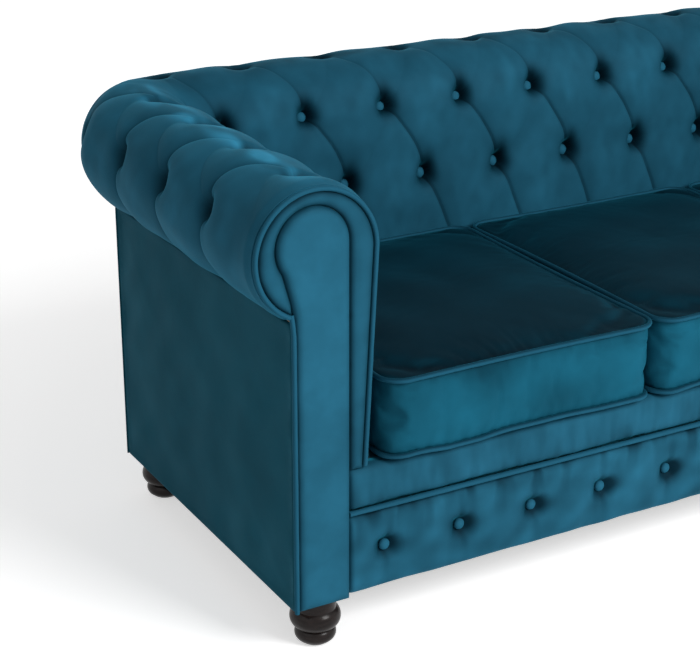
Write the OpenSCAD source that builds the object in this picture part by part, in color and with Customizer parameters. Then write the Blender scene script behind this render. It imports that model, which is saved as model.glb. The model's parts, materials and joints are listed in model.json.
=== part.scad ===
// Three-seat sofa with rolled arms, a deep-buttoned back, loose boxed cushions and turned feet.
// X runs along the sofa, -Y is the front and Z is up. The origin is on the floor, under the middle.
// Most pieces are drawn from the left front corner: x from the outer side panel, y from the facing.

/* [Overall] */
// Width across the two outer side panels
base_w = 1806; // [1650:1:2100]
// Depth from the facing's front to the rear outer panel
base_d = 650; // [620:1:720]
// Height of the upholstery's lower edge above the floor
leg_h = 76; // [66:1:100]
// Height of the platform that the seat cushions lie on
deck_z = 288; // [280:1:310]

/* [Rolls] */
// Outer radius of the arm and back rolls
roll_r = 104; // [98:1:112]
// Height of the axis of the rolls
roll_axis_z = 631; // [600:1:680]
// Thickness of an arm at the height of the roll's axis, from the outer side panel to its inner face
arm_top_t = 148; // [140:1:158]
// Thickness of an arm at the platform
arm_foot_t = 126; // [118:1:136]
// Thickness of the back at the height of the roll's axis, from the rear outer panel to its face
back_top_t = 54; // [48:1:62]
// Thickness of the back at the platform
back_foot_t = 75; // [68:1:88]
// Radius to which the axis of the rolls bends round each rear corner
corner_bend = 85; // [60:1:100]

/* [Facings] */
// How far the facing's outer edge, piping included, is set inside the roll
facing_set = 4.5; // [1:0.5:8]
// Width of the plain front post
post_w = 95; // [86:1:104]
// Radius of the raised panel's round head
head_r = 58; // [50:1:62]
// Diameter of the piping
piping_d = 8; // [6:0.5:9]

/* [Tufting] */
// Distance of the back's outermost top buttons from the side panels
back_button_in = 110; // [100:1:120]
// Distance of the first top arm button behind the facing
arm_button_in = 100; // [94:1:110]
// Distance of the last top arm button before the rear outer panel
arm_button_rear = 74; // [66:1:84]
// Depth of the buttons on the inner faces
button_depth = 34; // [24:1:36]
// Depth of the buttons on top of the rolls
crown_depth = 24; // [16:1:28]
// Depth of the pleats between the buttons
pleat_depth = 13; // [6:0.5:16]
// Radius of a covered button
button_r = 10; // [8:0.5:12]

/* [Front rail] */
// Height of the buttoned front rail
rail_h = 136; // [120:1:146]
// Depth of the rail's buttons
rail_depth = 18; // [12:1:19]

/* [Cushions] */
// Thickness of a seat cushion between its two pipings
cushion_h = 124; // [100:1:140]
// Rise of a cushion's crown above its upper piping
cushion_crown = 16; // [8:1:24]
// How far the cushions stand out in front of the facing
cushion_overhang = 8; // [4:1:14]
// Gap between neighbouring cushions
cushion_gap = 3; // [1:0.5:6]
// Radius of a cushion's upright corners
cushion_corner_r = 32; // [20:1:45]

/* [Feet] */
// Largest diameter of a turned foot
foot_d = 79; // [66:1:86]

/* [Hidden] */
$fn = 48;

// Clearances and overrun
fit_gap = 0.3;
seam_gap = 1.2;
overrun = 5;

// Places of the main planes, from the left front corner
arm_axis_in = arm_top_t - roll_r;
arm_foot_in = arm_foot_t - arm_axis_in;
back_axis_out = roll_r - back_top_t;
back_foot_in = back_foot_t + back_axis_out;
back_axis_y = base_d + back_axis_out;
overall_d = cushion_overhang + back_axis_y + roll_r;
front_y = cushion_overhang - overall_d / 2;
inner_h = roll_axis_z - deck_z;

// Sheet, board and beam thicknesses
panel_t = 6;
facing_t = 14;
foot_set = 0.5;
facing_r = roll_r - facing_set;
facing_foot_w = arm_foot_t - foot_set;
panel_proud = 5;
board_t = 18;
beam_t = 28;
lining_t = 3;

// Angles at which the roll's cover starts under the roll
arm_start_angle = 180 + acos(arm_axis_in / roll_r);
back_start_angle = 270 + asin(back_axis_out / roll_r);

// Thickness of the padding, thin over the scroll board and full behind it
edge_pad_t = 14;
pad_t = 41;

// Rows of buttons: angles on the rolls, and heights on the flat faces as shares of the face
arm_outer_angle = 159;
arm_top_angle = 70;
back_rear_angle = 208;
back_top_angle = 118;
back_front_angle = 12;
arm_upper_row_share = 0.08;
arm_lower_row_share = 0.46;
back_lower_row_share = 0.333;
shoulder_share = 0.35;
button_shoulder_share = 0.22;
mitre_fade = 30;
mitre_clear = 25;
sub = 3;
cell = 2 * sub;
back_count = 11;
arm_count = 4;
rail_count = 12;
back_pitch = (base_w - 2 * back_button_in) / (back_count - 1);
arm_pitch = (base_d - arm_button_rear - arm_button_in) / (arm_count - 1);
rail_pitch = (base_w - 2 * post_w) / rail_count;

// Colours of the finishes
velvet = [0.13, 0.40, 0.50];
velvet_dark = [0.09, 0.30, 0.39];
timber = [0.80, 0.66, 0.46];
steel = [0.62, 0.64, 0.66];
foam = [0.93, 0.88, 0.70];
lacquer = [0.07, 0.05, 0.05];

function turn(length) = length / roll_r * 180 / PI;
function arc_length(angle) = roll_r * angle * PI / 180;
function arm_s(angle) = arc_length(arm_start_angle - angle);
function back_s(angle) = arc_length(back_start_angle - angle);

// Distances along the section at which the rows lie, from the seam under the roll to the platform
arm_rows = [0, arm_s(arm_outer_angle), arm_s(arm_top_angle), arm_s(0) + arm_upper_row_share * inner_h,
    arm_s(0) + arm_lower_row_share * inner_h, arm_s(0) + inner_h];
back_rows = [0, back_s(back_rear_angle), back_s(back_top_angle), back_s(back_front_angle),
    back_s(0) + back_lower_row_share * inner_h, back_s(0) + inner_h];
row_depths = [0, button_depth, crown_depth, button_depth, button_depth, 0];
lines = sub * (len(row_depths) - 1);

// Position along the section of line i, with sub lines from row to row
function line_s(rows, i) =
    let (row = min(floor(i / sub), len(rows) - 2))
    rows[row] + (rows[row + 1] - rows[row]) * (i - row * sub) / sub;
function arm_line(i) = line_s(arm_rows, i);

// The back's first row has two lines close to the arm's seam, where its underside ends, and so one more
seam_step = 3;
back_lines = lines + 1;
under_lines = 4;
function back_line(i) = i == 0 ? 0 : i == 1 ? back_s(arm_start_angle) / 2
    : i < under_lines ? back_s(arm_start_angle + seam_step / (i == 2 ? 1 : 2))
    : line_s(back_rows, i - 1);

// Slope of the inner face below the roll
arm_lean = (arm_foot_in - roll_r) / inner_h;
back_lean = (back_foot_in - roll_r) / inner_h;

// Point of a section at distance s, set in by an inset and sunk by d: [offset from axis, height]
function section_point(s, start, lean, d, inset) =
    let (arc = arc_length(start), angle = start - turn(s), norm = sqrt(1 + lean * lean),
         r = roll_r - inset - d)
    s < arc
        ? [r * cos(angle), roll_axis_z + r * sin(angle)]
        : [roll_r + lean * (s - arc) - inset - d / norm, roll_axis_z - (s - arc) - d * lean / norm];

// Angle of the outward normal of a section at distance s
function section_normal(s, start, lean) = s < arc_length(start) ? start - turn(s) : atan(lean);

// Offset of the other face on the mitre: the same on the roll, from the other slope below it
function meeting(s, start, lean, u) = s < arc_length(start) ? u : roll_r + lean * (s - arc_length(start));

// The rolls' axis bends round a rear corner about one centre. A line of the cover whose offset from
// the axis is less than the bend goes round it, and the others meet on the mitre. A place along a
// line is a distance, and in the bend a distance that stands for up to half the quarter turn.
bend_x = arm_axis_in + corner_bend;
bend_y = back_axis_y - corner_bend;
bend_run = bend_x * PI / 4;
function on_bend(u, angle) =
    [bend_x + (corner_bend - u) * cos(angle), bend_y + (corner_bend - u) * sin(angle)];
function arm_place(u, q, bent) = bent && q > bend_y ? on_bend(u, 180 - 45 * (q - bend_y) / bend_run)
    : [arm_axis_in + u, q];
function back_place(u, q, bent) = bent && q < bend_x ? on_bend(u, 90 + 45 * (bend_x - q) / bend_run)
    : [q, back_axis_y - u];

// Sinking of a grid point: a button, a pleat, the shoulder of a pleat, or the full crown
function tuft(i, j) =
    let (row = min(floor(i / sub), len(row_depths) - 2), di = i - row * sub,
         m = (j + (row % 2 == 1 ? 0 : sub)) % cell, dj = min(m, cell - m),
         first = row == 0, last = row == len(row_depths) - 2,
         edge = first ? di / sub : last ? 1 - di / sub : 1,
         away = first ? sub - dj : last ? dj : abs(dj - di))
    di == 0 && !first
        ? row_depths[row] * (dj == 0 ? 1 : dj == 1 ? button_shoulder_share : 0)
        : away == 0 ? pleat_depth * edge : away == 1 ? pleat_depth * shoulder_share * edge : 0;
function tuft_at(i, j) = let (a = floor(max(j, 0)), part = max(j, 0) - a)
    (1 - part) * tuft(i, a) + part * tuft(i, a + 1);
function fade(gap) = min(1, abs(gap) / mitre_fade);
function is_button(i, j) = i > 0 && i < lines && i % sub == 0
    && (j + (i / sub % 2 == 1 ? 0 : sub)) % cell == 0;

// A closed pad: a grid of face points, lines by columns, over a backing with fewer columns. The walls
// along its first and last line join each step of the face to one backing column, its hub.
module pad(face, backing, hubs, extra) {
    n = len(face);
    c = len(face[0]);
    e = len(backing[0]);
    all_hubs = concat([0], hubs, [e - 1]);
    function f(i, j) = i * c + j;
    function b(i, k) = n * c + i * e + k;
    function parity(i, j) = (floor(max(i - extra, 0) / sub) + floor(j / sub)) % 2;
    split = [for (i = [0:n - 2], j = [0:c - 2]) for (t = parity(i, j) == 1
        ? [[f(i, j), f(i + 1, j + 1), f(i, j + 1)], [f(i, j), f(i + 1, j), f(i + 1, j + 1)]]
        : [[f(i, j), f(i + 1, j), f(i, j + 1)], [f(i, j + 1), f(i + 1, j), f(i + 1, j + 1)]]) t];
    rear = [for (i = [0:n - 2], k = [0:e - 2]) for (t = [
        [b(i, k), b(i, k + 1), b(i + 1, k + 1)], [b(i, k), b(i + 1, k + 1), b(i + 1, k)]]) t];
    near_end = [for (i = [0:n - 2]) for (t = [
        [f(i, 0), b(i, 0), b(i + 1, 0)], [f(i, 0), b(i + 1, 0), f(i + 1, 0)]]) t];
    far_end = [for (i = [0:n - 2]) for (t = [
        [f(i, c - 1), b(i + 1, e - 1), b(i, e - 1)], [f(i, c - 1), f(i + 1, c - 1), b(i + 1, e - 1)]]) t];
    fans = [for (j = [0:c - 2]) for (t = [
        [b(0, hubs[j]), f(0, j), f(0, j + 1)],
        [b(n - 1, hubs[j]), f(n - 1, j + 1), f(n - 1, j)]]) t];
    steps = [for (j = [0:c - 1]) for (k = [all_hubs[j] + 1:1:all_hubs[j + 1]]) for (t = [
        [b(0, k - 1), f(0, j), b(0, k)], [b(n - 1, k), f(n - 1, j), b(n - 1, k - 1)]]) t];
    polyhedron(
        points = concat([for (line = face) for (p = line) p], [for (line = backing) for (p = line) p]),
        faces = [for (t = concat(split, rear, near_end, far_end, fans, steps))
            [t[2], t[1], t[0]]]
    );
}

// A round cord along a list of points in the plane of x and z
module cord(path, d, sides) {
    n = len(path);
    function tangent(i) = let (v = path[min(i + 1, n - 1)] - path[max(i - 1, 0)]) v / norm(v);
    function ring(i) =
        let (t = tangent(i), side = cross(t, [0, 1, 0]), a = side / norm(side), c = cross(a, t))
        [for (k = [0:sides - 1]) path[i] + d / 2 * (cos(360 * k / sides) * a + sin(360 * k / sides) * c)];
    skin = [for (i = [0:n - 2], k = [0:sides - 1]) for (t = let (q = (k + 1) % sides) [
        [i * sides + k, i * sides + q, (i + 1) * sides + q],
        [i * sides + k, (i + 1) * sides + q, (i + 1) * sides + k]]) t];
    polyhedron(
        points = [for (i = [0:n - 1]) for (p = ring(i)) p],
        faces = concat(skin, [[for (k = [sides - 1:-1:0]) k],
            [for (k = [0:sides - 1]) (n - 1) * sides + k]])
    );
}

// A covered button with a tapered back, its tip at the bottom of a tuft
button_back_share = 1.7;
button_dome_share = 0.45;
module covered_button() {
    back_h = button_r * button_back_share;
    dome_h = button_r * button_dome_share;
    sphere_r = (button_r * button_r + dome_h * dome_h) / (2 * dome_h);
    rotate_extrude() {
        polygon([[0, 0], [button_r, back_h], [0, back_h]]);
        intersection() {
            translate([0, back_h + dome_h - sphere_r]) circle(sphere_r);
            translate([0, back_h]) square([button_r, dome_h]);
        }
    }
}

module from_corner() translate([-base_w / 2, front_y, 0]) children();
module left() from_corner() children();
module right() mirror([1, 0, 0]) from_corner() children();

// Extrudes an outline drawn in x and z from y0 back to y1
module upright(y0, y1) translate([0, y1, 0]) rotate([90, 0, 0]) linear_extrude(y1 - y0) children();

// Extrudes an outline drawn in y and z from x0 to x1
module lengthwise(x0, x1) translate([x0, 0, 0]) rotate([90, 0, 90]) linear_extrude(x1 - x0) children();

// A box between two corners
module block(low, high) translate(low) cube(high - low);

// Outer panels
roll_touch = 1;
function under_roll(offset) = roll_axis_z - sqrt(roll_r * roll_r - offset * offset) - roll_touch;

module side_panel() color(velvet_dark) upright(piping_d + fit_gap, base_d - panel_t)
    polygon([[0, leg_h], [panel_t, leg_h], [panel_t, under_roll(arm_axis_in - panel_t)],
        [0, under_roll(arm_axis_in)]]);

module rear_panel() color(velvet_dark) from_corner() lengthwise(0, base_w) {
    inner_y = base_d - panel_t + fit_gap;
    inner_z = lean_z(back_start_angle - 180 - seam_clear, -back_axis_out - panel_t);
    polygon([[inner_y, leg_h], [base_d, leg_h], [base_d, under_roll(arm_axis_in)], [inner_y, inner_z]]);
}

// Facings
head_left_share = 0.065;
head_up_share = 0.135;
neck_angle = 215;
neck_in_share = 0.05;
neck_low_share = 1.38;
neck_end_share = 1.85;
head_x = arm_axis_in - roll_r * head_left_share;
head_z = roll_axis_z + roll_r * head_up_share;

module keyhole(grow) {
    edge_x = piping_d - grow;
    reach = head_r + grow;
    translate([head_x, head_z]) circle(reach);
    polygon([[edge_x, leg_h], [post_w + grow, leg_h], [post_w + grow, head_z], [head_x, head_z],
        [head_x + reach * cos(neck_angle), head_z + reach * sin(neck_angle)],
        [edge_x - post_w * neck_in_share, head_z - head_r * neck_low_share],
        [edge_x, head_z - head_r * neck_end_share]]);
}

module scroll(inset) {
    translate([arm_axis_in, roll_axis_z]) circle(facing_r - inset);
    polygon([[arm_axis_in, deck_z], [facing_foot_w - inset, deck_z],
        [arm_axis_in + facing_r - inset, roll_axis_z], [arm_axis_in, roll_axis_z]]);
}

module facing_panel() color(velvet) upright(0, facing_t) keyhole(-fit_gap);

module facing_band() color(velvet) upright(panel_proud, facing_t) difference() {
    scroll(piping_d + fit_gap);
    keyhole(fit_gap);
    translate([-roll_r, leg_h]) square([roll_r + post_w / 2, head_z - head_r * neck_end_share - leg_h]);
}

piping_y = panel_proud + piping_d / 2;
arc_steps = 26;
module facing_piping() {
    r = facing_r - piping_d / 2;
    seam_angle = 180 + acos(arm_axis_in / r);
    color(velvet) cord(concat(
        [for (k = [0:arc_steps]) let (a = seam_angle * (1 - k / arc_steps))
            [arm_axis_in + r * cos(a), piping_y, roll_axis_z + r * sin(a)]],
        [[facing_foot_w - piping_d / 2, piping_y, deck_z + fit_gap]]), piping_d, 8);
}

module corner_piping() color(velvet) translate([piping_d / 2, piping_d / 2, leg_h])
    cylinder(d = piping_d - fit_gap, h = under_roll(arm_axis_in) - leg_h - piping_d);

// Arm pads, with the columns of the grid running from the facing back to the mitre
arm_cols = cell * (arm_count + 1) - sub;
rear_stop_share = 0.62;
front_tuck = roll_r - facing_r;
arm_step_y = facing_t + board_t + fit_gap;
seam_turn = asin((base_d + fit_gap - bend_y) / bend_x);
arm_hubs = [for (k = [arm_cols - 1:-1:0]) k > 4 ? 1 : k > 3 ? 3 : k > 1 ? 4 : 5];
function arm_lattice(j) = arm_button_in + (j - sub) * arm_pitch / cell;
function arm_u(s) = section_point(s, arm_start_angle, arm_lean, 0, 0)[0];
function arm_bent(s) = arm_u(s) < corner_bend && s < arc_length(arm_start_angle);
function arm_end(s) = (arm_bent(s) ? bend_y + bend_run
    : back_axis_y - meeting(s, arm_start_angle, back_lean, arm_u(s))) - seam_gap;
function arm_backing_end(s) = arm_end(s) + (arm_bent(s) ? 0 : pad_t * meeting_turn(s, arm_start_angle));

// Share of an inset that moves the mitre: all of it on a flat face, its cosine on the roll
function meeting_turn(s, start) = s < arc_length(start) ? cos(start - turn(s)) : 1;
function arm_q(s, j) =
    let (end = arm_end(s), base_j = cell * (arm_count - 1), base = arm_lattice(base_j),
         a = min(arm_lattice(base_j + sub), base + (end - base) * rear_stop_share),
         b = min(arm_lattice(base_j + cell), a + (end - a) * rear_stop_share), k = j - base_j)
    j == 0 ? facing_t : k <= 0 ? arm_lattice(j) : k <= sub ? base + (a - base) * k / sub
        : k <= cell ? a + (b - a) * (k - sub) / sub : b + (end - b) * (k - cell) / sub;
function arm_point(i, q, lift) =
    let (s = arm_line(i), j = (q - arm_lattice(0)) / (arm_pitch / cell),
         sink = q == facing_t ? front_tuck : tuft_at(i, j) * fade(arm_end(s) - q),
         p = section_point(s, arm_start_angle, arm_lean, sink - lift, 0),
         xy = arm_place(p[0], q, arm_bent(s)))
    [xy[0], xy[1], p[1]];

// Distances of the backing's columns behind the scroll board: to the bend, past the seam, to the mitre
function arm_backing_qs(s) =
    let (end = arm_backing_end(s), first = min(bend_y, end - 2 * seam_gap))
    [arm_step_y, first, arm_bent(s) ? bend_y + bend_run * seam_turn / 45 : (first + end) / 2, end];
function arm_backing(i) =
    let (s = arm_line(i), a = section_point(s, arm_start_angle, arm_lean, 0, edge_pad_t),
         b = section_point(s, arm_start_angle, arm_lean, 0, pad_t))
    concat([for (y = [facing_t, arm_step_y]) [arm_axis_in + a[0], y, a[1]]],
        [for (q = arm_backing_qs(s)) let (xy = arm_place(b[0], q, arm_bent(s))) [xy[0], xy[1], b[1]]]);

module arm_pad() color(velvet) pad(
    [for (i = [0:lines]) [for (j = [0:arm_cols]) arm_point(i, arm_q(arm_line(i), j), 0)]],
    [for (i = [0:lines]) arm_backing(i)], arm_hubs, 0);

module arm_buttons() color(velvet) for (i = [0:lines], j = [1:arm_cols])
    if (is_button(i, j) && arm_end(arm_line(i)) - arm_lattice(j) > mitre_clear) {
        q = arm_lattice(j);
        lean = section_normal(arm_line(i), arm_start_angle, arm_lean);
        bend = arm_bent(arm_line(i)) ? -45 * max(q - bend_y, 0) / bend_run : 0;
        translate(arm_point(i, q, fit_gap)) rotate([0, 0, bend]) rotate([0, 90 - lean, 0]) covered_button();
    }

// Back pad, with the columns running from mitre to mitre
back_cols = cell * back_count;
function back_lattice(j) = base_w / 2 + (j - back_cols / 2) * back_pitch / cell;
function back_u(s) = section_point(s, back_start_angle, back_lean, 0, 0)[0];
function back_bent(s) = back_u(s) < corner_bend && s < arc_length(back_start_angle);

// Where a line of the back ends: under the roll on the rear panel, else on the mitre
under_step_share = 0.75;
under_step = seam_step * under_step_share;
function under_end(u) = bend_x - bend_run
    * (90 - asin(min(1, (base_d + fit_gap - bend_y) / (corner_bend - u)))) / 45;
function is_under(s) = back_start_angle - turn(s) > arm_start_angle + under_step;
function back_end(s) = is_under(s) ? under_end(back_u(s))
    : (back_bent(s) ? bend_x - bend_run : arm_axis_in + meeting(s, back_start_angle, arm_lean, back_u(s)))
    + seam_gap;
function back_backing_end(s) = is_under(s)
    ? under_end(section_point(s, back_start_angle, back_lean, 0, pad_t)[0])
    : back_end(s) - (back_bent(s) ? 0 : pad_t * meeting_turn(s, back_start_angle));
function back_q(s, j) =
    let (end = back_end(s), full = back_lattice(cell), mid = max(back_lattice(sub), (end + full) / 2))
    j <= sub ? end + (mid - end) * j / sub : j <= cell ? mid + (full - mid) * (j - sub) / sub
        : back_lattice(j);
function mirrored(p, other) = [other ? base_w - p[0] : p[0], p[1], p[2]];
function back_half(i, q, lift) =
    let (s = back_line(i), j = (q - back_lattice(0)) / (back_pitch / cell),
         sink = tuft_at(max(i - 1, 0), j) * (i == 1 ? 0 : fade(q - back_end(s))),
         p = section_point(s, back_start_angle, back_lean, sink - lift, 0),
         xy = back_place(p[0], q, back_bent(s)))
    [xy[0], xy[1], p[1]];
function back_point(i, j) = let (other = j > back_cols / 2)
    mirrored(back_half(i, back_q(back_line(i), other ? back_cols - j : j), 0), other);
function back_backing_half(i, q) =
    let (s = back_line(i), b = section_point(s, back_start_angle, back_lean, 0, pad_t),
         xy = back_place(b[0], q, back_bent(s)))
    [xy[0], xy[1], b[1]];
function back_backing(i) =
    let (end = back_backing_half(i, back_backing_end(back_line(i))),
         turn = back_backing_half(i, bend_x + seam_gap))
    [end, turn, mirrored(turn, true), mirrored(end, true)];

module back_pad() color(velvet) from_corner() pad(
    [for (i = [0:back_lines]) [for (j = [0:back_cols]) back_point(i, j)]],
    [for (i = [0:back_lines]) back_backing(i)], [for (j = [1:back_cols]) 1], 1);

module half_back_buttons() for (i = [1:back_lines], j = [0:back_cols / 2])
    if (is_button(i - 1, j) && back_lattice(j) - back_end(back_line(i)) > mitre_clear) {
        q = back_lattice(j);
        lean = section_normal(back_line(i), back_start_angle, back_lean);
        bend = back_bent(back_line(i)) ? 45 * max(bend_x - q, 0) / bend_run : 0;
        translate(back_half(i, q, fit_gap)) rotate([0, 0, bend]) rotate([90 - lean, 0, 0]) covered_button();
    }
module back_buttons() color(velvet) {
    left() half_back_buttons();
    right() half_back_buttons();
}

// Front rail: a buttoned lower pad, piping and a plain border above it
rail_x0 = post_w + fit_gap;
rail_x1 = base_w - post_w - fit_gap;
rail_back_y = facing_t + board_t;
rail_crest_share = 0.125;
rail_crest_y = panel_proud + rail_crest_share * piping_d;
rail_edge_drop = 7;
rail_cols = 4 * rail_count;
rail_lines = 6;
rail_top_z = leg_h + rail_h;
function rail_sink(i, j) =
    let (m = (j + 2) % 4, on = m == 0, rim = i == 0 || i == rail_lines)
    rim ? rail_edge_drop : i == 1 || i == rail_lines - 1 ? (on ? rail_edge_drop : rail_edge_drop / 4)
        : on ? (i == rail_lines / 2 ? rail_depth : rail_edge_drop) : m % 2 == 1 ? rail_edge_drop / 4 : 0;
function rail_point(i, j, lift) =
    [rail_x0 + (rail_x1 - rail_x0) * j / rail_cols, rail_crest_y + rail_sink(i, j) - lift,
     rail_top_z - rail_h * i / rail_lines];

module front_rail_pad() color(velvet) from_corner() pad(
    [for (i = [0:rail_lines]) [for (j = [0:rail_cols]) rail_point(i, j, 0)]],
    [for (i = [0:rail_lines]) [for (x = [rail_x0, rail_x1])
        [x, rail_back_y, rail_top_z - rail_h * i / rail_lines]]], [for (j = [1:rail_cols]) 0], 0);

module front_rail_buttons() color(velvet) from_corner() for (k = [0:rail_count - 1])
    translate(rail_point(rail_lines / 2, 4 * k + 2, fit_gap)) rotate([90, 0, 0]) covered_button();

module front_rail_piping() color(velvet) from_corner()
    translate([rail_x0, piping_y, rail_top_z + fit_gap + piping_d / 2]) rotate([0, 90, 0])
        cylinder(d = piping_d, h = rail_x1 - rail_x0);

border_bulge = 5;
module seat_border() {
    z0 = rail_top_z + piping_d + 2 * fit_gap;
    h = deck_z - z0;
    r = (h * h / 4 + border_bulge * border_bulge) / (2 * border_bulge);
    color(velvet) from_corner() lengthwise(rail_x0, rail_x1) intersection() {
        translate([panel_proud, z0]) square([rail_back_y - panel_proud, h]);
        translate([panel_proud + r, z0 + h / 2]) circle(r);
    }
}

// Inner frame, with every timber inside the pads' backing
lining_gap = 4;
core_inset = pad_t + lining_gap;
former_inset = core_inset + lining_t + fit_gap;
seam_clear = 2;
frame_x0 = panel_t + fit_gap;
frame_y0 = facing_t + board_t + fit_gap;
frame_y1 = base_d - panel_t - fit_gap;
plate_t = 3;
beam_z0 = leg_h + plate_t + 2 * fit_gap;
deck_drop = 20;
beam_z1 = deck_z - deck_drop;
rear_beam_in = 26;
rear_beam_y1 = base_d - rear_beam_in;
core_steps = 14;

// Line of a core inside the pads: offsets from the axis and heights, from under the roll to the platform
function core_line(start, foot, inset) = concat(
    [for (k = [0:core_steps]) let (a = (start - seam_clear) * (1 - k / core_steps), r = roll_r - inset)
        [r * cos(a), roll_axis_z + r * sin(a)]], [[foot - inset, deck_z]]);
function flip(points) = [for (k = [len(points) - 1:-1:0]) points[k]];
function arm_xz(points) = [for (p = points) [arm_axis_in + p[0], p[1]]];
function back_yz(points) = [for (p = points) [back_axis_y - p[0], p[1]]];

module scroll_board() color(timber) upright(facing_t + fit_gap, facing_t + board_t) {
    inset = edge_pad_t + lining_gap;
    translate([arm_axis_in, roll_axis_z]) circle(roll_r - inset);
    polygon([[frame_x0, beam_z0], [post_w - fit_gap, beam_z0], [post_w - fit_gap, deck_z],
        [arm_axis_in + arm_foot_in - inset, deck_z], [arm_axis_in + roll_r - inset, roll_axis_z],
        [arm_axis_in, roll_axis_z], [frame_x0, lean_z(arm_start_angle - 180, arm_axis_in - frame_x0)]]);
}

// Height at which a line from the roll's axis, just below the pad's seam, reaches an offset
function lean_z(angle, offset) = roll_axis_z - offset * tan(angle + seam_clear);

batten_h = 50;
batten_w = 30;
module batten_slot(grow) translate([-batten_w / 2 - grow, roll_axis_z - batten_h / 2 - grow])
    square([batten_w + 2 * grow, batten_h + 2 * grow]);

former_t = 18;
arm_former_shares = [0.2, 0.5, 0.8];
arm_clear_y = base_d - pad_t - panel_t;
module arm_formers() color(timber) for (share = arm_former_shares) {
    y = frame_y0 + (arm_clear_y - frame_y0) * share;
    upright(y, y + former_t) difference() {
        polygon(concat([[frame_x0, beam_z1 + fit_gap]],
            [[frame_x0, lean_z(arm_start_angle - 180, arm_axis_in - frame_x0)], [arm_axis_in, roll_axis_z]],
            arm_xz(core_line(arm_start_angle, arm_foot_in, former_inset)),
            [[arm_axis_in + arm_foot_in - former_inset, beam_z1 + fit_gap]]));
        translate([arm_axis_in, 0]) batten_slot(fit_gap);
    }
}

module arm_lining() color(foam) upright(frame_y0 + fit_gap, base_d - roll_r)
    polygon(concat(arm_xz(core_line(arm_start_angle, arm_foot_in, core_inset)),
        flip(arm_xz(core_line(arm_start_angle, arm_foot_in, core_inset + lining_t)))));

module arm_batten() color(timber) upright(frame_y0 + fit_gap, back_axis_y - batten_w)
    translate([arm_axis_in, 0]) batten_slot(0);

back_former_count = 7;
back_former_in = 150;
module back_formers() color(timber) from_corner() for (k = [0:back_former_count - 1]) {
    x = back_former_in + (base_w - 2 * back_former_in - former_t) * k / (back_former_count - 1);
    lengthwise(x, x + former_t) difference() {
        polygon(concat([[frame_y1, beam_z1 + fit_gap]],
            [[frame_y1, lean_z(back_start_angle - 180, frame_y1 - back_axis_y)]],
            [[back_axis_y, roll_axis_z]],
            back_yz(core_line(back_start_angle, back_foot_in, former_inset)),
            [[back_axis_y - back_foot_in + former_inset, beam_z1 + fit_gap]]));
        translate([back_axis_y, 0]) batten_slot(fit_gap);
    }
}

module back_lining() color(foam) from_corner()
    lengthwise(roll_r + arm_axis_in, base_w - roll_r - arm_axis_in) polygon(concat(
        back_yz(core_line(back_start_angle, back_foot_in, core_inset)),
        flip(back_yz(core_line(back_start_angle, back_foot_in, core_inset + lining_t)))));

module back_batten() color(timber) from_corner()
    lengthwise(arm_axis_in + batten_w, base_w - arm_axis_in - batten_w)
        translate([back_axis_y, 0]) batten_slot(0);

bolt_d = 8;
bolt_rise = 42;
bolt_top_z = leg_h + bolt_rise;
foot_in = 55;
foot_front_y = 44;
foot_rear_y = rear_beam_y1 - beam_t / 2;
module at_feet() for (y = [foot_front_y, foot_rear_y]) {
    left() translate([foot_in, y, 0]) children();
    right() translate([foot_in, y, 0]) children();
}
module beam(y0, y1) color(timber) difference() {
    from_corner() block([frame_x0, y0, beam_z0], [base_w - frame_x0, y1, beam_z1]);
    at_feet() cylinder(d = bolt_d + fit_gap, h = bolt_top_z + fit_gap);
}
module front_seat_rail() beam(frame_y0, frame_y0 + beam_t);
module rear_seat_rail() beam(rear_beam_y1 - beam_t, rear_beam_y1);
cross_y0 = frame_y0 + beam_t + fit_gap;
cross_y1 = rear_beam_y1 - beam_t - fit_gap;
module side_seat_rails() color(timber) from_corner() for (x = [frame_x0, base_w - frame_x0 - beam_t])
    block([x, cross_y0, beam_z0], [x + beam_t, cross_y1, beam_z1]);
brace_shares = [1 / 3, 2 / 3];
module cross_braces() color(timber) from_corner() for (share = brace_shares)
    block([base_w * share - beam_t / 2, cross_y0, beam_z0],
        [base_w * share + beam_t / 2, cross_y1, beam_z1 - beam_t]);

glue_block_w = 64;
module glue_block() {
    x = frame_x0 + beam_t + fit_gap;
    translate([0, 0, beam_z0]) linear_extrude(beam_z1 - beam_t - beam_z0) {
        polygon([[x, cross_y0], [x + glue_block_w, cross_y0], [x, cross_y0 + glue_block_w]]);
        polygon([[x, cross_y1], [x + glue_block_w, cross_y1], [x, cross_y1 - glue_block_w]]);
    }
}
module corner_blocks() color(timber) {
    left() glue_block();
    right() glue_block();
}

// Sinuous springs from rail to rail, each held by a clip at either end
spring_count = 12;
spring_in = 150;
spring_w = 52;
wire_d = 3.5;
spring_legs = 13;
clip_w = 18;
clip_roof = 2;
spring_y0 = frame_y0 + beam_t / 2;
spring_step = (rear_beam_y1 - beam_t / 2 - spring_y0) / spring_legs;
function spring_x(k) = spring_in + (base_w - 2 * spring_in) * k / (spring_count - 1);
spring_path = [for (k = [0:spring_legs], e = [0, 1])
    [((k + e) % 2 == 0 ? -1 : 1) * spring_w / 2, spring_y0 + k * spring_step]];
function edge_normal(i) = let (v = spring_path[i + 1] - spring_path[i]) [-v[1], v[0]] / norm(v);
function spring_edge(side) = [for (i = [0:len(spring_path) - 1]) spring_path[i] + side * wire_d / 2
    * ((i > 0 ? edge_normal(i - 1) : [0, 0]) + (i < len(spring_path) - 1 ? edge_normal(i) : [0, 0]))];

module seat_springs() color(steel) from_corner() for (k = [0:spring_count - 1])
    translate([spring_x(k), 0, beam_z1 + fit_gap]) linear_extrude(wire_d)
        polygon(concat(spring_edge(1), flip(spring_edge(-1))));

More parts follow.
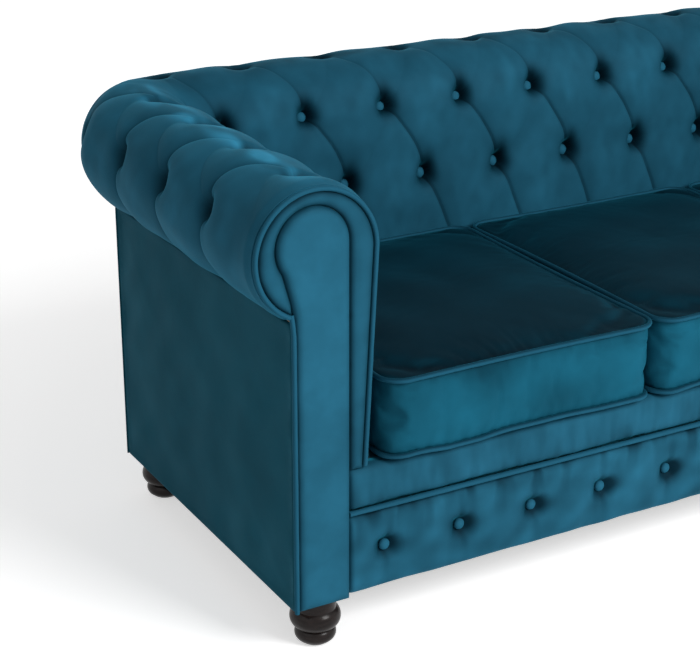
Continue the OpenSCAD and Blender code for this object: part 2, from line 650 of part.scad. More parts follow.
clip_half_share = 1 / 3;
module spring_clips() color(steel) from_corner()
    for (k = [0:spring_count - 1], y = [spring_y0, spring_y0 + spring_legs * spring_step])
    translate([spring_x(k), y, beam_z1 + fit_gap]) difference() {
        translate([-clip_w / 2, -clip_w * clip_half_share, 0])
            cube([clip_w, 2 * clip_w * clip_half_share, wire_d + fit_gap + clip_roof]);
        translate([-clip_w, -wire_d / 2 - fit_gap, -overrun])
            cube([2 * clip_w, wire_d + 2 * fit_gap, wire_d + fit_gap + overrun]);
    }

platform_z0 = beam_z1 + wire_d + clip_roof + 3 * fit_gap;
module seat_platform() {
    x0 = arm_axis_in + arm_foot_in - core_inset + fit_gap;
    y1 = back_axis_y - back_foot_in + core_inset - fit_gap;
    color(velvet_dark) from_corner()
        block([x0, frame_y0, platform_z0], [base_w - x0, y1, deck_z - fit_gap]);
}

// Feet, the plates above them and the bolts that hold them
plate_w = 60;
plate_shift = 9;
plate_clear = 1;
sheet_t = 1.5;
module plate_outline(grow) for (spot = [[foot_front_y, plate_shift], [foot_rear_y, -plate_shift]])
    translate([foot_in - plate_w / 2 + plate_t - grow, spot[0] + spot[1] - plate_w / 2 - grow])
        square(plate_w + 2 * grow);
module plates() translate([0, 0, leg_h + fit_gap]) linear_extrude(plate_t) difference() {
    plate_outline(0);
    translate([foot_in, foot_front_y]) circle(d = bolt_d + fit_gap);
    translate([foot_in, foot_rear_y]) circle(d = bolt_d + fit_gap);
}
module foot_plates() color(steel) {
    left() plates();
    right() plates();
}
module hanger_bolts() color(steel) at_feet() translate([0, 0, leg_h / 2 + fit_gap])
    cylinder(d = bolt_d, h = bolt_top_z - leg_h / 2 - fit_gap);
module dust_cover() color("dimgray") difference() {
    from_corner() block([frame_x0, frame_y0, beam_z0 - fit_gap - sheet_t],
        [base_w - frame_x0, frame_y1, beam_z0 - fit_gap]);
    left() linear_extrude(beam_z0 + overrun) plate_outline(plate_clear);
    right() linear_extrude(beam_z0 + overrun) plate_outline(plate_clear);
}

upper_ball_share = 0.24;
upper_z_share = 0.55;
lower_width_share = 0.815;
lower_ball_share = 0.165;
lower_z_share = 0.185;
collar_share = 0.82;
sole_share = 0.56;
module foot() {
    upper_r = foot_d * upper_ball_share;
    lower_r = foot_d * lower_ball_share;
    color(lacquer) difference() {
        rotate_extrude() intersection() {
            square([foot_d, leg_h]);
            union() {
                square([foot_d / 2 * sole_share, leg_h]);
                translate([foot_d / 2 - upper_r, leg_h * upper_z_share]) circle(upper_r);
                translate([0, leg_h * upper_z_share]) square([foot_d / 2 * collar_share, leg_h]);
                translate([foot_d / 2 * lower_width_share - lower_r, leg_h * lower_z_share])
                    circle(lower_r);
            }
        }
        translate([0, 0, leg_h / 2]) cylinder(d = bolt_d + fit_gap, h = leg_h);
    }
}
module front_left_foot() left() translate([foot_in, foot_front_y, 0]) foot();
module front_right_foot() right() translate([foot_in, foot_front_y, 0]) foot();
module rear_left_foot() left() translate([foot_in, foot_rear_y, 0]) foot();
module rear_right_foot() right() translate([foot_in, foot_rear_y, 0]) foot();

// Loose cushions: a foam core in a boxed, crowned cover with a cord round its two seams
cushion_piping_d = 7;
cushion_side_clear = 2;
cushion_rear_clear = 3;
cushion_bulge = 5;
cushion_pull = 4;
seam_lift = 6;
core_in = 12;
cushion_x0 = arm_axis_in + roll_r + cushion_side_clear;
cushion_count = 3;
cushion_w = (base_w - 2 * cushion_x0 - (cushion_count - 1) * cushion_gap) / cushion_count;
cushion_d = cushion_overhang + back_axis_y - back_foot_in - cushion_rear_clear;
seam_w = cushion_w - 2 * (cushion_piping_d + fit_gap);
seam_d = cushion_d - 2 * (cushion_piping_d + fit_gap);
corner_steps = 4;
side_steps = 4;

// Loop round the cushion: grown outwards, scaled to a share, and drawn in between the corners
function cushion_loop(grow, share, pull) = [for (s = [0:3]) for (k = [0:corner_steps + side_steps - 1])
    let (r = cushion_corner_r, a = 90 * s + 90 * min(k, corner_steps) / corner_steps,
         mid = [(s == 0 || s == 3 ? 1 : -1) * (seam_w / 2 - r), (s < 2 ? 1 : -1) * (seam_d / 2 - r)],
         p = mid + (r + grow) * [cos(a), sin(a)], t = max(k - corner_steps, 0) / side_steps,
         run = (s % 2 == 0 ? seam_w : seam_d) - 2 * r, out = [cos(90 * (s + 1)), sin(90 * (s + 1))],
         along = [cos(90 * (s + 2)), sin(90 * (s + 2))])
    share * (p + along * run * t - out * pull * sin(180 * t))];

// Rings of the cover from the underside up: growth, share, height and pull
crown_shares = [[0.97, 0.25], [0.9, 0.55], [0.74, 0.83], [0.45, 0.97]];
foot_ring_share = 0.95;
bulge_shares = [[0.22, 0.75], [0.5, 1], [0.78, 0.75]];
function ring_at(grow, share, z, pull) = [for (p = cushion_loop(grow, share, pull)) [p[0], p[1], z]];
top_seam_z = seam_lift + cushion_h;
cushion_rings = concat(
    [ring_at(0, foot_ring_share, 0, cushion_pull), ring_at(0, 1, seam_lift, cushion_pull)],
    [for (b = bulge_shares)
        ring_at(cushion_bulge * b[1], 1, seam_lift + cushion_h * b[0], cushion_pull / 2)],
    [ring_at(0, 1, top_seam_z, cushion_pull)],
    [for (c = crown_shares) ring_at(0, c[0], top_seam_z + cushion_crown * c[1], cushion_pull)]);

module at_cushion(k) from_corner() translate([cushion_x0 + cushion_w / 2 + k * (cushion_w + cushion_gap),
    cushion_d / 2 - cushion_overhang, deck_z + fit_gap]) children();

module cushion_block(grow) {
    w = seam_w - 2 * core_in + 2 * grow;
    d = seam_d - 2 * core_in + 2 * grow;
    r = cushion_corner_r - core_in + grow;
    translate([0, 0, seam_lift - grow]) linear_extrude(cushion_h + 2 * grow) {
        square([w - 2 * r, d], center = true);
        square([w, d - 2 * r], center = true);
        for (x = [-1, 1], y = [-1, 1]) translate([x * (w / 2 - r), y * (d / 2 - r)]) circle(r);
    }
}

module cushion_cover(k) color(velvet) at_cushion(k) difference() {
    n = len(cushion_rings[0]);
    top = len(cushion_rings) - 1;
    skin = [for (i = [0:top - 1], j = [0:n - 1]) for (t = let (q = (j + 1) % n) [
        [i * n + j, (i + 1) * n + j, (i + 1) * n + q], [i * n + j, (i + 1) * n + q, i * n + q]]) t];
    polyhedron(
        points = concat([for (ring = cushion_rings) for (p = ring) p],
            [[0, 0, top_seam_z + cushion_crown]]),
        faces = concat(skin, [[for (j = [0:n - 1]) j]],
            [for (j = [0:n - 1]) [(top + 1) * n, top * n + (j + 1) % n, top * n + j]])
    );
    cushion_block(fit_gap);
}

module cushion_core(k) color(foam) at_cushion(k) cushion_block(0);

cord_sides = 6;
cord_loop = cushion_loop(fit_gap + cushion_piping_d / 2, 1, cushion_pull);
cord_count = len(cord_loop);
function cord_out(i) =
    let (v = cord_loop[(i + 1) % cord_count] - cord_loop[(i + cord_count - 1) % cord_count])
    [v[1], -v[0]] / norm(v);
function cord_point(i, q) =
    let (a = 360 * (q + 1 / 2) / cord_sides, r = cushion_piping_d / 2,
         p = cord_loop[i] + cord_out(i) * r * cos(a))
    [p[0], p[1], r * sin(a)];
module cushion_piping(k, z) color(velvet) at_cushion(k) translate([0, 0, z]) polyhedron(
    points = [for (i = [0:cord_count - 1], q = [0:cord_sides - 1]) cord_point(i, q)],
    faces = [for (i = [0:cord_count - 1], q = [0:cord_sides - 1]) for (t =
        let (u = i * cord_sides, v = (i + 1) % cord_count * cord_sides, w = (q + 1) % cord_sides) [
            [u + q, u + w, v + w], [u + q, v + w, v + q]]) t]);

left() side_panel();  // left_outer_panel
right() side_panel();  // right_outer_panel
rear_panel();  // rear_outer_panel
left() facing_panel();  // left_facing_panel
right() facing_panel();  // right_facing_panel
left() facing_band();  // left_facing_band
right() facing_band();  // right_facing_band
left() facing_piping();  // left_facing_piping
right() facing_piping();  // right_facing_piping
left() corner_piping();  // left_corner_piping
right() corner_piping();  // right_corner_piping
left() arm_pad();  // left_arm_pad
right() arm_pad();  // right_arm_pad
back_pad();
left() arm_buttons();  // left_arm_buttons
right() arm_buttons();  // right_arm_buttons
back_buttons();
front_rail_pad();
front_rail_buttons();
front_rail_piping();
seat_border();
left() scroll_board();  // left_scroll_board
right() scroll_board();  // right_scroll_board
left() arm_formers();  // left_arm_formers
right() arm_formers();  // right_arm_formers
left() arm_lining();  // left_arm_lining
right() arm_lining();  // right_arm_lining
left() arm_batten();  // left_arm_batten
right() arm_batten();  // right_arm_batten
back_formers();
back_lining();
back_batten();
front_seat_rail();
rear_seat_rail();
side_seat_rails();
cross_braces();
corner_blocks();
seat_springs();
spring_clips();
seat_platform();
dust_cover();
cushion_cover(0);  // left_cushion_cover
cushion_core(0);  // left_cushion_core
cushion_piping(0, top_seam_z);  // left_cushion_top_piping
cushion_piping(0, seam_lift);  // left_cushion_lower_piping
cushion_cover(1);  // middle_cushion_cover
cushion_core(1);  // middle_cushion_core
cushion_piping(1, top_seam_z);  // middle_cushion_top_piping
cushion_piping(1, seam_lift);  // middle_cushion_lower_piping
cushion_cover(2);  // right_cushion_cover
cushion_core(2);  // right_cushion_core
cushion_piping(2, top_seam_z);  // right_cushion_top_piping
cushion_piping(2, seam_lift);  // right_cushion_lower_piping
front_left_foot();
front_right_foot();
rear_left_foot();
rear_right_foot();
foot_plates();
hanger_bolts();
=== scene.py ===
"""Looks for the buttoned velvet sofa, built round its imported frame, in metres."""

import json
import logging
import math
from collections.abc import Sequence
from dataclasses import dataclass, field
from enum import Enum

import bpy
import numpy as np
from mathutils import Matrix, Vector
from mathutils.geometry import delaunay_2d_cdt

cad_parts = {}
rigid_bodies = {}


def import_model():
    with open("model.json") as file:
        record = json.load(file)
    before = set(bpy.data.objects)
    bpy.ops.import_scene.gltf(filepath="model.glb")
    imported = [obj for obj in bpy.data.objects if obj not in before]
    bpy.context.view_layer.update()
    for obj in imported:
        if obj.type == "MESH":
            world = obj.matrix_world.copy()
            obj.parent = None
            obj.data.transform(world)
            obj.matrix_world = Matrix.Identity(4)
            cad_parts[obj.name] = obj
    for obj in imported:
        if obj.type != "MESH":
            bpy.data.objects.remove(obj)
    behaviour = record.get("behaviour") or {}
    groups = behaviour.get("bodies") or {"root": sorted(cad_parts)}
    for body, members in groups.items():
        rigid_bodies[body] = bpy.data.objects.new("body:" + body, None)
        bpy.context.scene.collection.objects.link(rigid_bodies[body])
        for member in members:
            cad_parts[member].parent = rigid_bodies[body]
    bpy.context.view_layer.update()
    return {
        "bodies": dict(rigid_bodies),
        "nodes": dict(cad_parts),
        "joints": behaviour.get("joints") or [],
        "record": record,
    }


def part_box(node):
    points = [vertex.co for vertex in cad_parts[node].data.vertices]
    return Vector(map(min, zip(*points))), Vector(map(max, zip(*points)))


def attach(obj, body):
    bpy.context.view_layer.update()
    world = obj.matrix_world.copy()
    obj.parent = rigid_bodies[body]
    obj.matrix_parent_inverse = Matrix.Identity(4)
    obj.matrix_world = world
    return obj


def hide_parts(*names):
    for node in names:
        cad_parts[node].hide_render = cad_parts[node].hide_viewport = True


LOG = logging.getLogger("sofa")
Array = np.ndarray
Triple = tuple[float, float, float]
Face = Sequence[int]
Inputs = dict[str | int, object]
Socket = bpy.types.NodeSocket
Spot = tuple[float, float, int]

# Sizes that the sub-assemblies share, from the left front corner of the sofa
BASE_W = 1.806
BASE_D = 0.650
FRONT_Y = -0.398
CORNER = (BASE_W / 2, -FRONT_Y, 0)
LEG_H = 0.076
DECK_Z = 0.288
ROLL_R = 0.104
AXIS_Z = 0.631
ARM_AXIS_X = 0.044
ARM_FOOT = 0.082
ARM_SEAM = 180 + math.degrees(math.acos(ARM_AXIS_X / ROLL_R))
BACK_AXIS_Y = 0.700
BACK_FOOT = 0.125
BACK_OUT = 0.050
BEND = 0.085
BEND_X = ARM_AXIS_X + BEND
BEND_Y = BACK_AXIS_Y - BEND
BEND_RUN = BEND_X * math.pi / 4
FACING_T = 0.014
POST_W = 0.095
INNER_H = AXIS_Z - DECK_Z
SHARP = math.radians(60)


class Slot(Enum):
    """Finish slots of the record."""

    VELVET = "velvet"
    CORD = "velvet_cord"
    BUTTON = "velvet_button"
    PANEL = "velvet_panel"
    PLATFORM = "platform_cloth"
    LINING = "lining_cloth"
    WEBBING = "webbing"
    FOAM = "foam"
    TIMBER = "timber"
    LACQUER = "lacquer"
    SPRING = "spring_steel"
    ZINC = "zinc"


class Side(Enum):
    """End of the sofa, with the sign that its x is multiplied by."""

    LEFT = 1
    RIGHT = -1

    @property
    def word(self) -> str:
        """Returns: its word in the pieces' names."""
        return self.name.lower()


Finishes = dict[Slot, bpy.types.Material]


@dataclass(frozen=True)
class Nodes:
    """A node tree with short calls that add and join its nodes."""

    tree: bpy.types.NodeTree

    def add(self, kind: str, inputs: Inputs | None = None, **values: object) -> bpy.types.Node:
        """Adds a node.

        Args:
            kind: type name of the node.
            inputs: what goes into its inputs.
            values: its properties.

        Returns:
            The node.
        """
        node = self.tree.nodes.new(kind)
        for name, value in values.items():
            setattr(node, name, value)
        self.fill(node, inputs or {})
        return node

    def fill(self, node: bpy.types.Node, inputs: Inputs) -> None:
        """Joins sockets to a node's inputs, or sets their own values.

        Args:
            node: the node.
            inputs: a socket or a value for the name or number of each input.
        """
        for name, value in inputs.items():
            if isinstance(value, Socket):
                self.tree.links.new(value, node.inputs[name])
            else:
                node.inputs[name].default_value = value

    def place(self) -> Socket:
        """Returns: Object coordinates."""
        return self.add("ShaderNodeTexCoord").outputs["Object"]

    def parts(self, vector: Socket) -> bpy.types.bpy_prop_collection:
        """Returns: the X, Y and Z of a vector."""
        return self.add("ShaderNodeSeparateXYZ", {0: vector}).outputs

    def noise(self, place: Socket, scale: float, detail: float = 2.0) -> Socket:
        """Returns: a noise at a place, with its lumps in a metre and its octaves."""
        inputs = {"Vector": place, "Scale": scale, "Detail": detail}
        return self.add("ShaderNodeTexNoise", inputs).outputs["Fac"]

    def grain(self, place: Socket, stretch: Triple, scale: float, detail: float) -> Socket:
        """Returns: a noise that is stretched by a share along each axis."""
        node = self.add("ShaderNodeMapping", {"Vector": place, "Scale": stretch})
        return self.noise(node.outputs[0], scale, detail)

    def span(self, value: Socket, low: float, high: float, a: float, b: float) -> Socket:
        """Returns: a value that is mapped from the span of low to high to that of a to b, clamped."""
        inputs = {"Value": value, "From Min": low, "From Max": high, "To Min": a, "To Max": b}
        return self.add("ShaderNodeMapRange", inputs).outputs["Result"]

    def math(self, kind: str, *values: Socket | float) -> Socket:
        """Returns: the result of an operation on one or two values."""
        return self.add("ShaderNodeMath", dict(enumerate(values)), operation=kind).outputs[0]

    def ramp(self, value: Socket, low: Triple, high: Triple, start: float = 0.0, stop: float = 1.0) -> Socket:
        """Blends two colours by a value.

        Args:
            value: the value.
            low: colour up to the start.
            high: colour from the stop on.
            start: value where the blend starts.
            stop: value where it ends.

        Returns:
            The colour.
        """
        node = self.add("ShaderNodeValToRGB", {0: value})
        for element, color, at in zip(node.color_ramp.elements, (low, high), (start, stop)):
            element.position = at
            element.color = (*color, 1)
        return node.outputs[0]

    def bump(self, height: Socket, strength: float, distance: float) -> Socket:
        """Returns: a normal that is turned by a height."""
        inputs = {"Strength": strength, "Distance": distance, "Height": height}
        return self.add("ShaderNodeBump", inputs).outputs[0]

    def seen(self) -> Socket:
        """Returns: 1 for a ray that the camera, a gloss or a glass sends straight, else 0."""
        rays = self.add("ShaderNodeLightPath").outputs
        seen = self.math("MAXIMUM", rays["Is Camera Ray"], rays["Is Glossy Ray"])
        return self.math("MAXIMUM", seen, rays["Is Transmission Ray"])


def blank_material(name: str) -> tuple[bpy.types.Material, Nodes, bpy.types.Node]:
    """Starts a node material.

    Args:
        name: name of the material.

    Returns:
        The material, its tree and its shader.
    """
    mat = bpy.data.materials.new(name)
    mat.use_nodes = True
    return mat, Nodes(mat.node_tree), mat.node_tree.nodes["Principled BSDF"]


@dataclass(frozen=True)
class Finish:
    """A finish, with the name and the main colour of its material."""

    name: str
    color: Triple

    def toned(self, share: float) -> Triple:
        """Returns: its colour, brightened by a share."""
        return tuple(c * share for c in self.color)

    def build(self) -> bpy.types.Material:
        """Returns: the node material."""
        mat, nodes, shader = blank_material(self.name)
        nodes.fill(shader, self.looks(nodes, nodes.place()))
        return mat

    def looks(self, nodes: Nodes, place: Socket) -> Inputs:
        """Works out what goes into the shader.

        Args:
            nodes: the material's tree.
            place: Object coordinates.

        Returns:
            A socket or a value for the name of each input.
        """
        raise NotImplementedError


@dataclass(frozen=True)
class Velvet(Finish):
    """Short-pile cloth, with painted shade by the way that it faces and painted light and shade at its
    points.

    Attributes:
        sheen: weight of the sheen at a grazing view.
        up_shade: painted shade on a face that looks up: its brightness, as a share.
        side_shade: painted shade on a face that looks to either side: its brightness, as a share.
        crush: how much the pile is brushed light and dark.
        reach: the brightest that the painted light and the brushing make it, as a share.
        deep: colour of the deepest painted shade.
        sheen_tint: colour of the sheen.
        roughness: roughness of the pile.
        brushed: lumps in a metre, octaves and share of the crush of each brushed pattern.
        pile: lumps of the pile in a metre.
        backing: lumps of the cloth under it in a metre.
    """

    sheen: float = 0.5
    up_shade: float = 0.8
    side_shade: float = 0.75
    crush: float = 0.11
    reach: float = 2.4
    deep: Triple = (0.0002, 0.004, 0.008)
    sheen_tint: Triple = (0.02, 0.30, 0.45)
    roughness: float = 0.62
    brushed: tuple[tuple[float, float, float], ...] = ((5.0, 4.0, 1.0), (24.0, 3.0, 0.5))
    pile: float = 1100.0
    backing: float = 190.0

    def looks(self, nodes: Nodes, place: Socket) -> Inputs:
        """Works out the pile, with its painted light and shade.

        Args:
            nodes: the material's tree.
            place: Object coordinates.

        Returns:
            What goes into the shader.
        """
        # Painted shade: faces that look up or to either side are darkened
        way = nodes.parts(nodes.add("ShaderNodeNewGeometry").outputs["Normal"])
        upward = nodes.span(way["Z"], 0.15, 0.98, 1.0, self.up_shade)
        sideways = nodes.span(nodes.math("ABSOLUTE", way["X"]), 0.2, 1.0, 1.0, self.side_shade)
        shade = nodes.math("MULTIPLY", upward, sideways)
        for scale, detail, share in self.brushed:
            crush = self.crush * share
            lay = nodes.span(nodes.noise(place, scale, detail), 0.38, 0.62, 1 - crush, 1 + crush)
            shade = nodes.math("MULTIPLY", shade, lay)
        # Painted light and shade at each point, with random tone, from its nap attribute
        nap = nodes.add("ShaderNodeAttribute", attribute_name="nap").outputs["Fac"]
        shade = nodes.math("MULTIPLY", shade, nodes.math("ADD", nap, 1.0))
        # The ramp runs from the colour of the deepest painted shade to the brightest painted highlight
        shade = nodes.span(shade, 0, self.reach, 0, 1)
        pile = nodes.noise(place, self.pile, 1.0)
        height = nodes.math("ADD", pile, nodes.noise(place, self.backing))
        return {
            "Base Color": nodes.ramp(shade, self.deep, self.toned(self.reach)),
            "Roughness": nodes.span(pile, 0.2, 0.8, self.roughness - 0.08, self.roughness + 0.08),
            "Normal": nodes.bump(height, 0.12, 0.0006),
            "Sheen Weight": self.sheen,
            "Sheen Roughness": 0.38,
            "Sheen Tint": (*self.sheen_tint, 1),
            "Specular IOR Level": 0.03,
        }


@dataclass(frozen=True)
class Woven(Finish):
    """Plain woven cloth: lining, webbing or platform cloth, with its threads in a metre."""

    threads: float = 620.0

    def looks(self, nodes: Nodes, place: Socket) -> Inputs:
        """Works out the weave.

        Args:
            nodes: the material's tree.
            place: Object coordinates.

        Returns:
            What goes into the shader.
        """
        parts = nodes.parts(place)
        turns = [nodes.math("MULTIPLY", parts[axis], self.threads * math.tau) for axis in "XY"]
        weave = nodes.math("MULTIPLY", *[nodes.math("SINE", turn) for turn in turns])
        wear = nodes.span(nodes.noise(place, 9.0), 0.3, 0.7, 0.9, 1.08)
        shade = nodes.math("MULTIPLY", nodes.span(weave, -1, 1, 0.8, 1.1), wear)
        tint = nodes.add("ShaderNodeVectorMath", {0: self.color, "Scale": shade}, operation="SCALE")
        return {"Base Color": tint.outputs[0], "Normal": nodes.bump(weave, 0.3, 0.0004), "Roughness": 0.9}


@dataclass(frozen=True)
class Timber(Finish):
    """Planed softwood with a straight grain along x."""

    def looks(self, nodes: Nodes, place: Socket) -> Inputs:
        """Returns: its grain and roughness, from the material's tree and Object coordinates."""
        grain = nodes.grain(place, (2.0, 14.0, 26.0), 5.0, 5.0)
        return {
            "Base Color": nodes.ramp(grain, self.toned(0.62), self.color, 0.35, 0.65),
            "Roughness": nodes.span(grain, 0.3, 0.7, 0.62, 0.5),
        }


@dataclass(frozen=True)
class Lacquer(Finish):
    """Near-black gloss lacquer over turned wood, with faint rubbed places."""

    def looks(self, nodes: Nodes, place: Socket) -> Inputs:
        """Returns: its rings and rubbed places, from the tree and Object coordinates."""
        grain = nodes.grain(place, (30.0, 30.0, 150.0), 2.0, 3.0)
        return {
            "Base Color": nodes.ramp(grain, self.toned(0.4), self.toned(1.1), 0.3, 0.75),
            "Roughness": nodes.span(nodes.noise(place, 45.0, 3.0), 0.3, 0.7, 0.22, 0.36),
            "Specular IOR Level": 0.15,
            "Coat Weight": 0.05,
            "Coat Roughness": 0.12,
        }


@dataclass(frozen=True)
class Steel(Finish):
    """Plated or drawn steel, lightly spotted, with its roughness."""

    roughness: float

    def looks(self, nodes: Nodes, place: Socket) -> Inputs:
        """Returns: its spots and roughness, from the material's tree and Object coordinates."""
        spots = nodes.noise(place, 140.0, 3.0)
        return {
            "Base Color": nodes.ramp(spots, self.toned(0.8), self.color),
            "Roughness": nodes.span(spots, 0.3, 0.7, self.roughness - 0.06, self.roughness + 0.08),
            "Metallic": 1,
        }


@dataclass(frozen=True)
class Foam(Finish):
    """Open-cell cushion foam."""

    def looks(self, nodes: Nodes, place: Socket) -> Inputs:
        """Returns: its cells and roughness, from the material's tree and Object coordinates."""
        return {
            "Base Color": nodes.ramp(nodes.noise(place, 700.0, 3.0), self.toned(0.7), self.color),
            "Roughness": 0.95,
        }


def finishes() -> Finishes:
    """Returns: a material for each finish slot."""
    looks = {
        Slot.VELVET: Velvet("Velvet", (0.019, 0.128, 0.208)),
        Slot.CORD: Velvet("VelvetCord", (0.016, 0.108, 0.178), crush=0.05),
        Slot.BUTTON: Velvet("VelvetButton", (0.020, 0.135, 0.220), crush=0.05),
        # The panels' velvet is a darker copy of the velvet: painted shade for the sides and the rear, which
        # face away from the key lamp
        Slot.PANEL: Velvet("VelvetPanel", (0.009, 0.080, 0.118)),
        Slot.PLATFORM: Woven("PlatformCloth", (0.020, 0.085, 0.115), 420.0),
        Slot.LINING: Woven("LiningCloth", (0.05, 0.05, 0.05)),
        Slot.WEBBING: Woven("Webbing", (0.55, 0.47, 0.33), 380.0),
        Slot.FOAM: Foam("Foam", (0.86, 0.80, 0.60)),
        Slot.TIMBER: Timber("Timber", (0.62, 0.45, 0.27)),
        Slot.LACQUER: Lacquer("Lacquer", (0.018, 0.012, 0.011)),
        Slot.SPRING: Steel("SpringSteel", (0.42, 0.42, 0.43), 0.34),
        Slot.ZINC: Steel("Zinc", (0.60, 0.61, 0.62), 0.42),
    }
    return {slot: look.build() for slot, look in looks.items()}


def smooth_step(value: Array | float, low: float, high: float) -> Array:
    """Returns: a value eased from 0 at low to 1 at high."""
    t = np.clip((np.asarray(value, float) - low) / (high - low), 0, 1)
    return t * t * (3 - 2 * t)


def bell(value: Array, width: float) -> Array:
    """Returns: 1 at a value of 0, falling as a bell of this width."""
    return np.exp(-((value / width) ** 2))


@dataclass(frozen=True)
class Lumps:
    """Smooth waves with a fixed seed, for the small unevenness of stuffed cloth.

    Attributes:
        seed: seed of the waves.
        length: shortest wave.
        count: number of waves.
    """

    seed: int
    length: float
    count: int = 14

    def at(self, *parts: Array) -> Array:
        """Gives the waves' sum at points.

        Args:
            parts: the points' coordinates, or one array whose last axis has them.

        Returns:
            Values of about -1 to 1.
        """
        points = parts[0] if len(parts) == 1 else np.stack(parts, -1)
        rng = np.random.default_rng(self.seed)
        total = np.zeros(points.shape[:-1])
        for _ in range(self.count):
            way = rng.normal(size=points.shape[-1])
            way *= math.tau / (self.length * rng.uniform(1, 3) * np.linalg.norm(way))
            total += np.sin(points @ way + rng.uniform(0, math.tau))
        return total / math.sqrt(self.count)


def to_frame(points: Array, side: Side = Side.LEFT) -> Array:
    """Returns: points from the left front corner in the frame, mirrored for the right end."""
    place = np.array(points, float) - CORNER
    place[:, 0] *= side.value
    return place


def add_object(name: str, data: bpy.types.ID) -> bpy.types.Object:
    """Returns: an object in the scene with this name and data."""
    piece = bpy.data.objects.new(name, data)
    bpy.context.scene.collection.objects.link(piece)
    return piece


def make_piece(
    name: str,
    points: Array,
    faces: Sequence[Face],
    side: Side = Side.LEFT,
    grid: tuple[int, int] | None = None,
    nap: Array | None = None,
) -> bpy.types.Object:
    """Makes a smooth mesh piece, with its place in its mesh.

    Args:
        name: name of the piece.
        points: its points, from the left front corner.
        faces: its faces.
        side: the end of the sofa that it's for.
        grid: lines and columns of a face grid that comes first, whose border is a sharp edge.
        nap: painted light and shade, with random tone, at the first points.

    Returns:
        The object.
    """
    place = to_frame(points, side)
    turned = [tuple(reversed(f)) for f in faces] if side is Side.RIGHT else faces
    mesh = bpy.data.meshes.new(name)
    mesh.from_pydata(place.tolist(), [], [tuple(int(i) for i in f) for f in turned])
    mesh.shade_smooth()
    if nap is not None:
        values = np.zeros(len(place), np.float32)
        values[: nap.size] = nap.ravel()
        mesh.attributes.new("nap", "FLOAT", "POINT").data.foreach_set("value", values)
    if grid:
        index = np.arange(grid[0] * grid[1]).reshape(grid)
        rim = [index[0], index[-1], index[:, 0], index[:, -1]]
        keys = np.concatenate([line[:-1] * len(place) + line[1:] for line in rim])
        ends = np.empty(len(mesh.edges) * 2, np.int32)
        mesh.edges.foreach_get("vertices", ends)
        ends = np.sort(ends.reshape(-1, 2).astype(np.int64), axis=1)
        sharp = mesh.attributes.new("sharp_edge", "BOOLEAN", "EDGE")
        sharp.data.foreach_set("value", np.isin(ends[:, 0] * len(place) + ends[:, 1], keys))
    return add_object(name, mesh)


def outward(points: Array, faces: list[Face]) -> list[Face]:
    """Turns a closed surface's faces outwards.

    Args:
        points: its points.
        faces: its faces, all turned the same way.

    Returns:
        The faces, turned if their volume was negative.
    """
    volume = 0.0
    for size in {len(f) for f in faces}:
        ring = points[np.array([f for f in faces if len(f) == size])]
        for k in range(1, size - 1):
            volume += float(np.einsum("ij,ij->", ring[:, 0], np.cross(ring[:, k], ring[:, k + 1])))
    return [tuple(reversed(f)) for f in faces] if volume < 0 else faces


def quads(index: Array) -> Array:
    """Returns: the four corners of each cell of a grid of point numbers, line by line."""
    corners = (index[:-1, :-1], index[:-1, 1:], index[1:, 1:], index[1:, :-1])
    return np.stack(corners, -1).reshape(-1, 4)


def zip_strip(a: Face, b: Face) -> list[Face]:
    """Joins two lines of points by triangles.

    Args:
        a: point numbers along the first line.
        b: point numbers along the second line, the same way.

    Returns:
        The triangles.
    """
    out: list[Face] = []
    i = j = 0
    while i < len(a) - 1 or j < len(b) - 1:
        next_a = (i + 1) / max(len(a) - 1, 1) if i < len(a) - 1 else math.inf
        next_b = (j + 1) / max(len(b) - 1, 1) if j < len(b) - 1 else math.inf
        if next_a <= next_b:
            out.append((a[i], a[i + 1], b[j]))
            i += 1
        else:
            out.append((a[i], b[j + 1], b[j]))
            j += 1
    return out


def thicken(faces: Sequence[Face], count: int) -> list[Face]:
    """Makes a closed shell from a sheet of faces, whose back has the same points again.

    Args:
        faces: the sheet's faces.
        count: number of its points, which is added to each for the back.

    Returns:
        The faces of the front, the back and the wall round them.
    """
    border: dict[tuple[int, int], tuple[int, int] | None] = {}
    for face in faces:
        for i, j in zip(face, (*face[1:], face[0])):
            key = (min(i, j), max(i, j))
            border[key] = None if key in border else (i, j)
    out: list[Face] = [tuple(f) for f in faces]
    out += [tuple(i + count for i in reversed(f)) for f in faces]
    out += [(edge[1], edge[0], edge[0] + count, edge[1] + count) for edge in border.values() if edge]
    return out


def resample(path: Array, step: float, closed: bool = False) -> Array:
    """Spreads points evenly along a path.

    Args:
        path: its corner points.
        step: distance between the new points, nearly.
        closed: whether it is a loop.

    Returns:
        The new points.
    """
    path = np.asarray(path, float)
    if closed:
        path = np.concatenate([path, path[:1]])
    run = np.concatenate([[0], np.cumsum(np.linalg.norm(np.diff(path, axis=0), axis=1))])
    count = max(int(round(run[-1] / step)), 2)
    at = np.linspace(0, run[-1], count + 1)
    out = np.stack([np.interp(at, run, path[:, k]) for k in range(path.shape[1])], -1)
    return out[:-1] if closed else out


def on_circle(middle: tuple[float, float], radius: float, turns: Array) -> Array:
    """Returns: points on a circle, at angles in radians."""
    return np.stack([middle[0] + radius * np.cos(turns), middle[1] + radius * np.sin(turns)], -1)


def rectangle(low: Sequence[float], high: Sequence[float]) -> Array:
    """Returns: the corners of an upright rectangle, anticlockwise."""
    return np.array([[low[0], low[1]], [high[0], low[1]], [high[0], high[1]], [low[0], high[1]]])


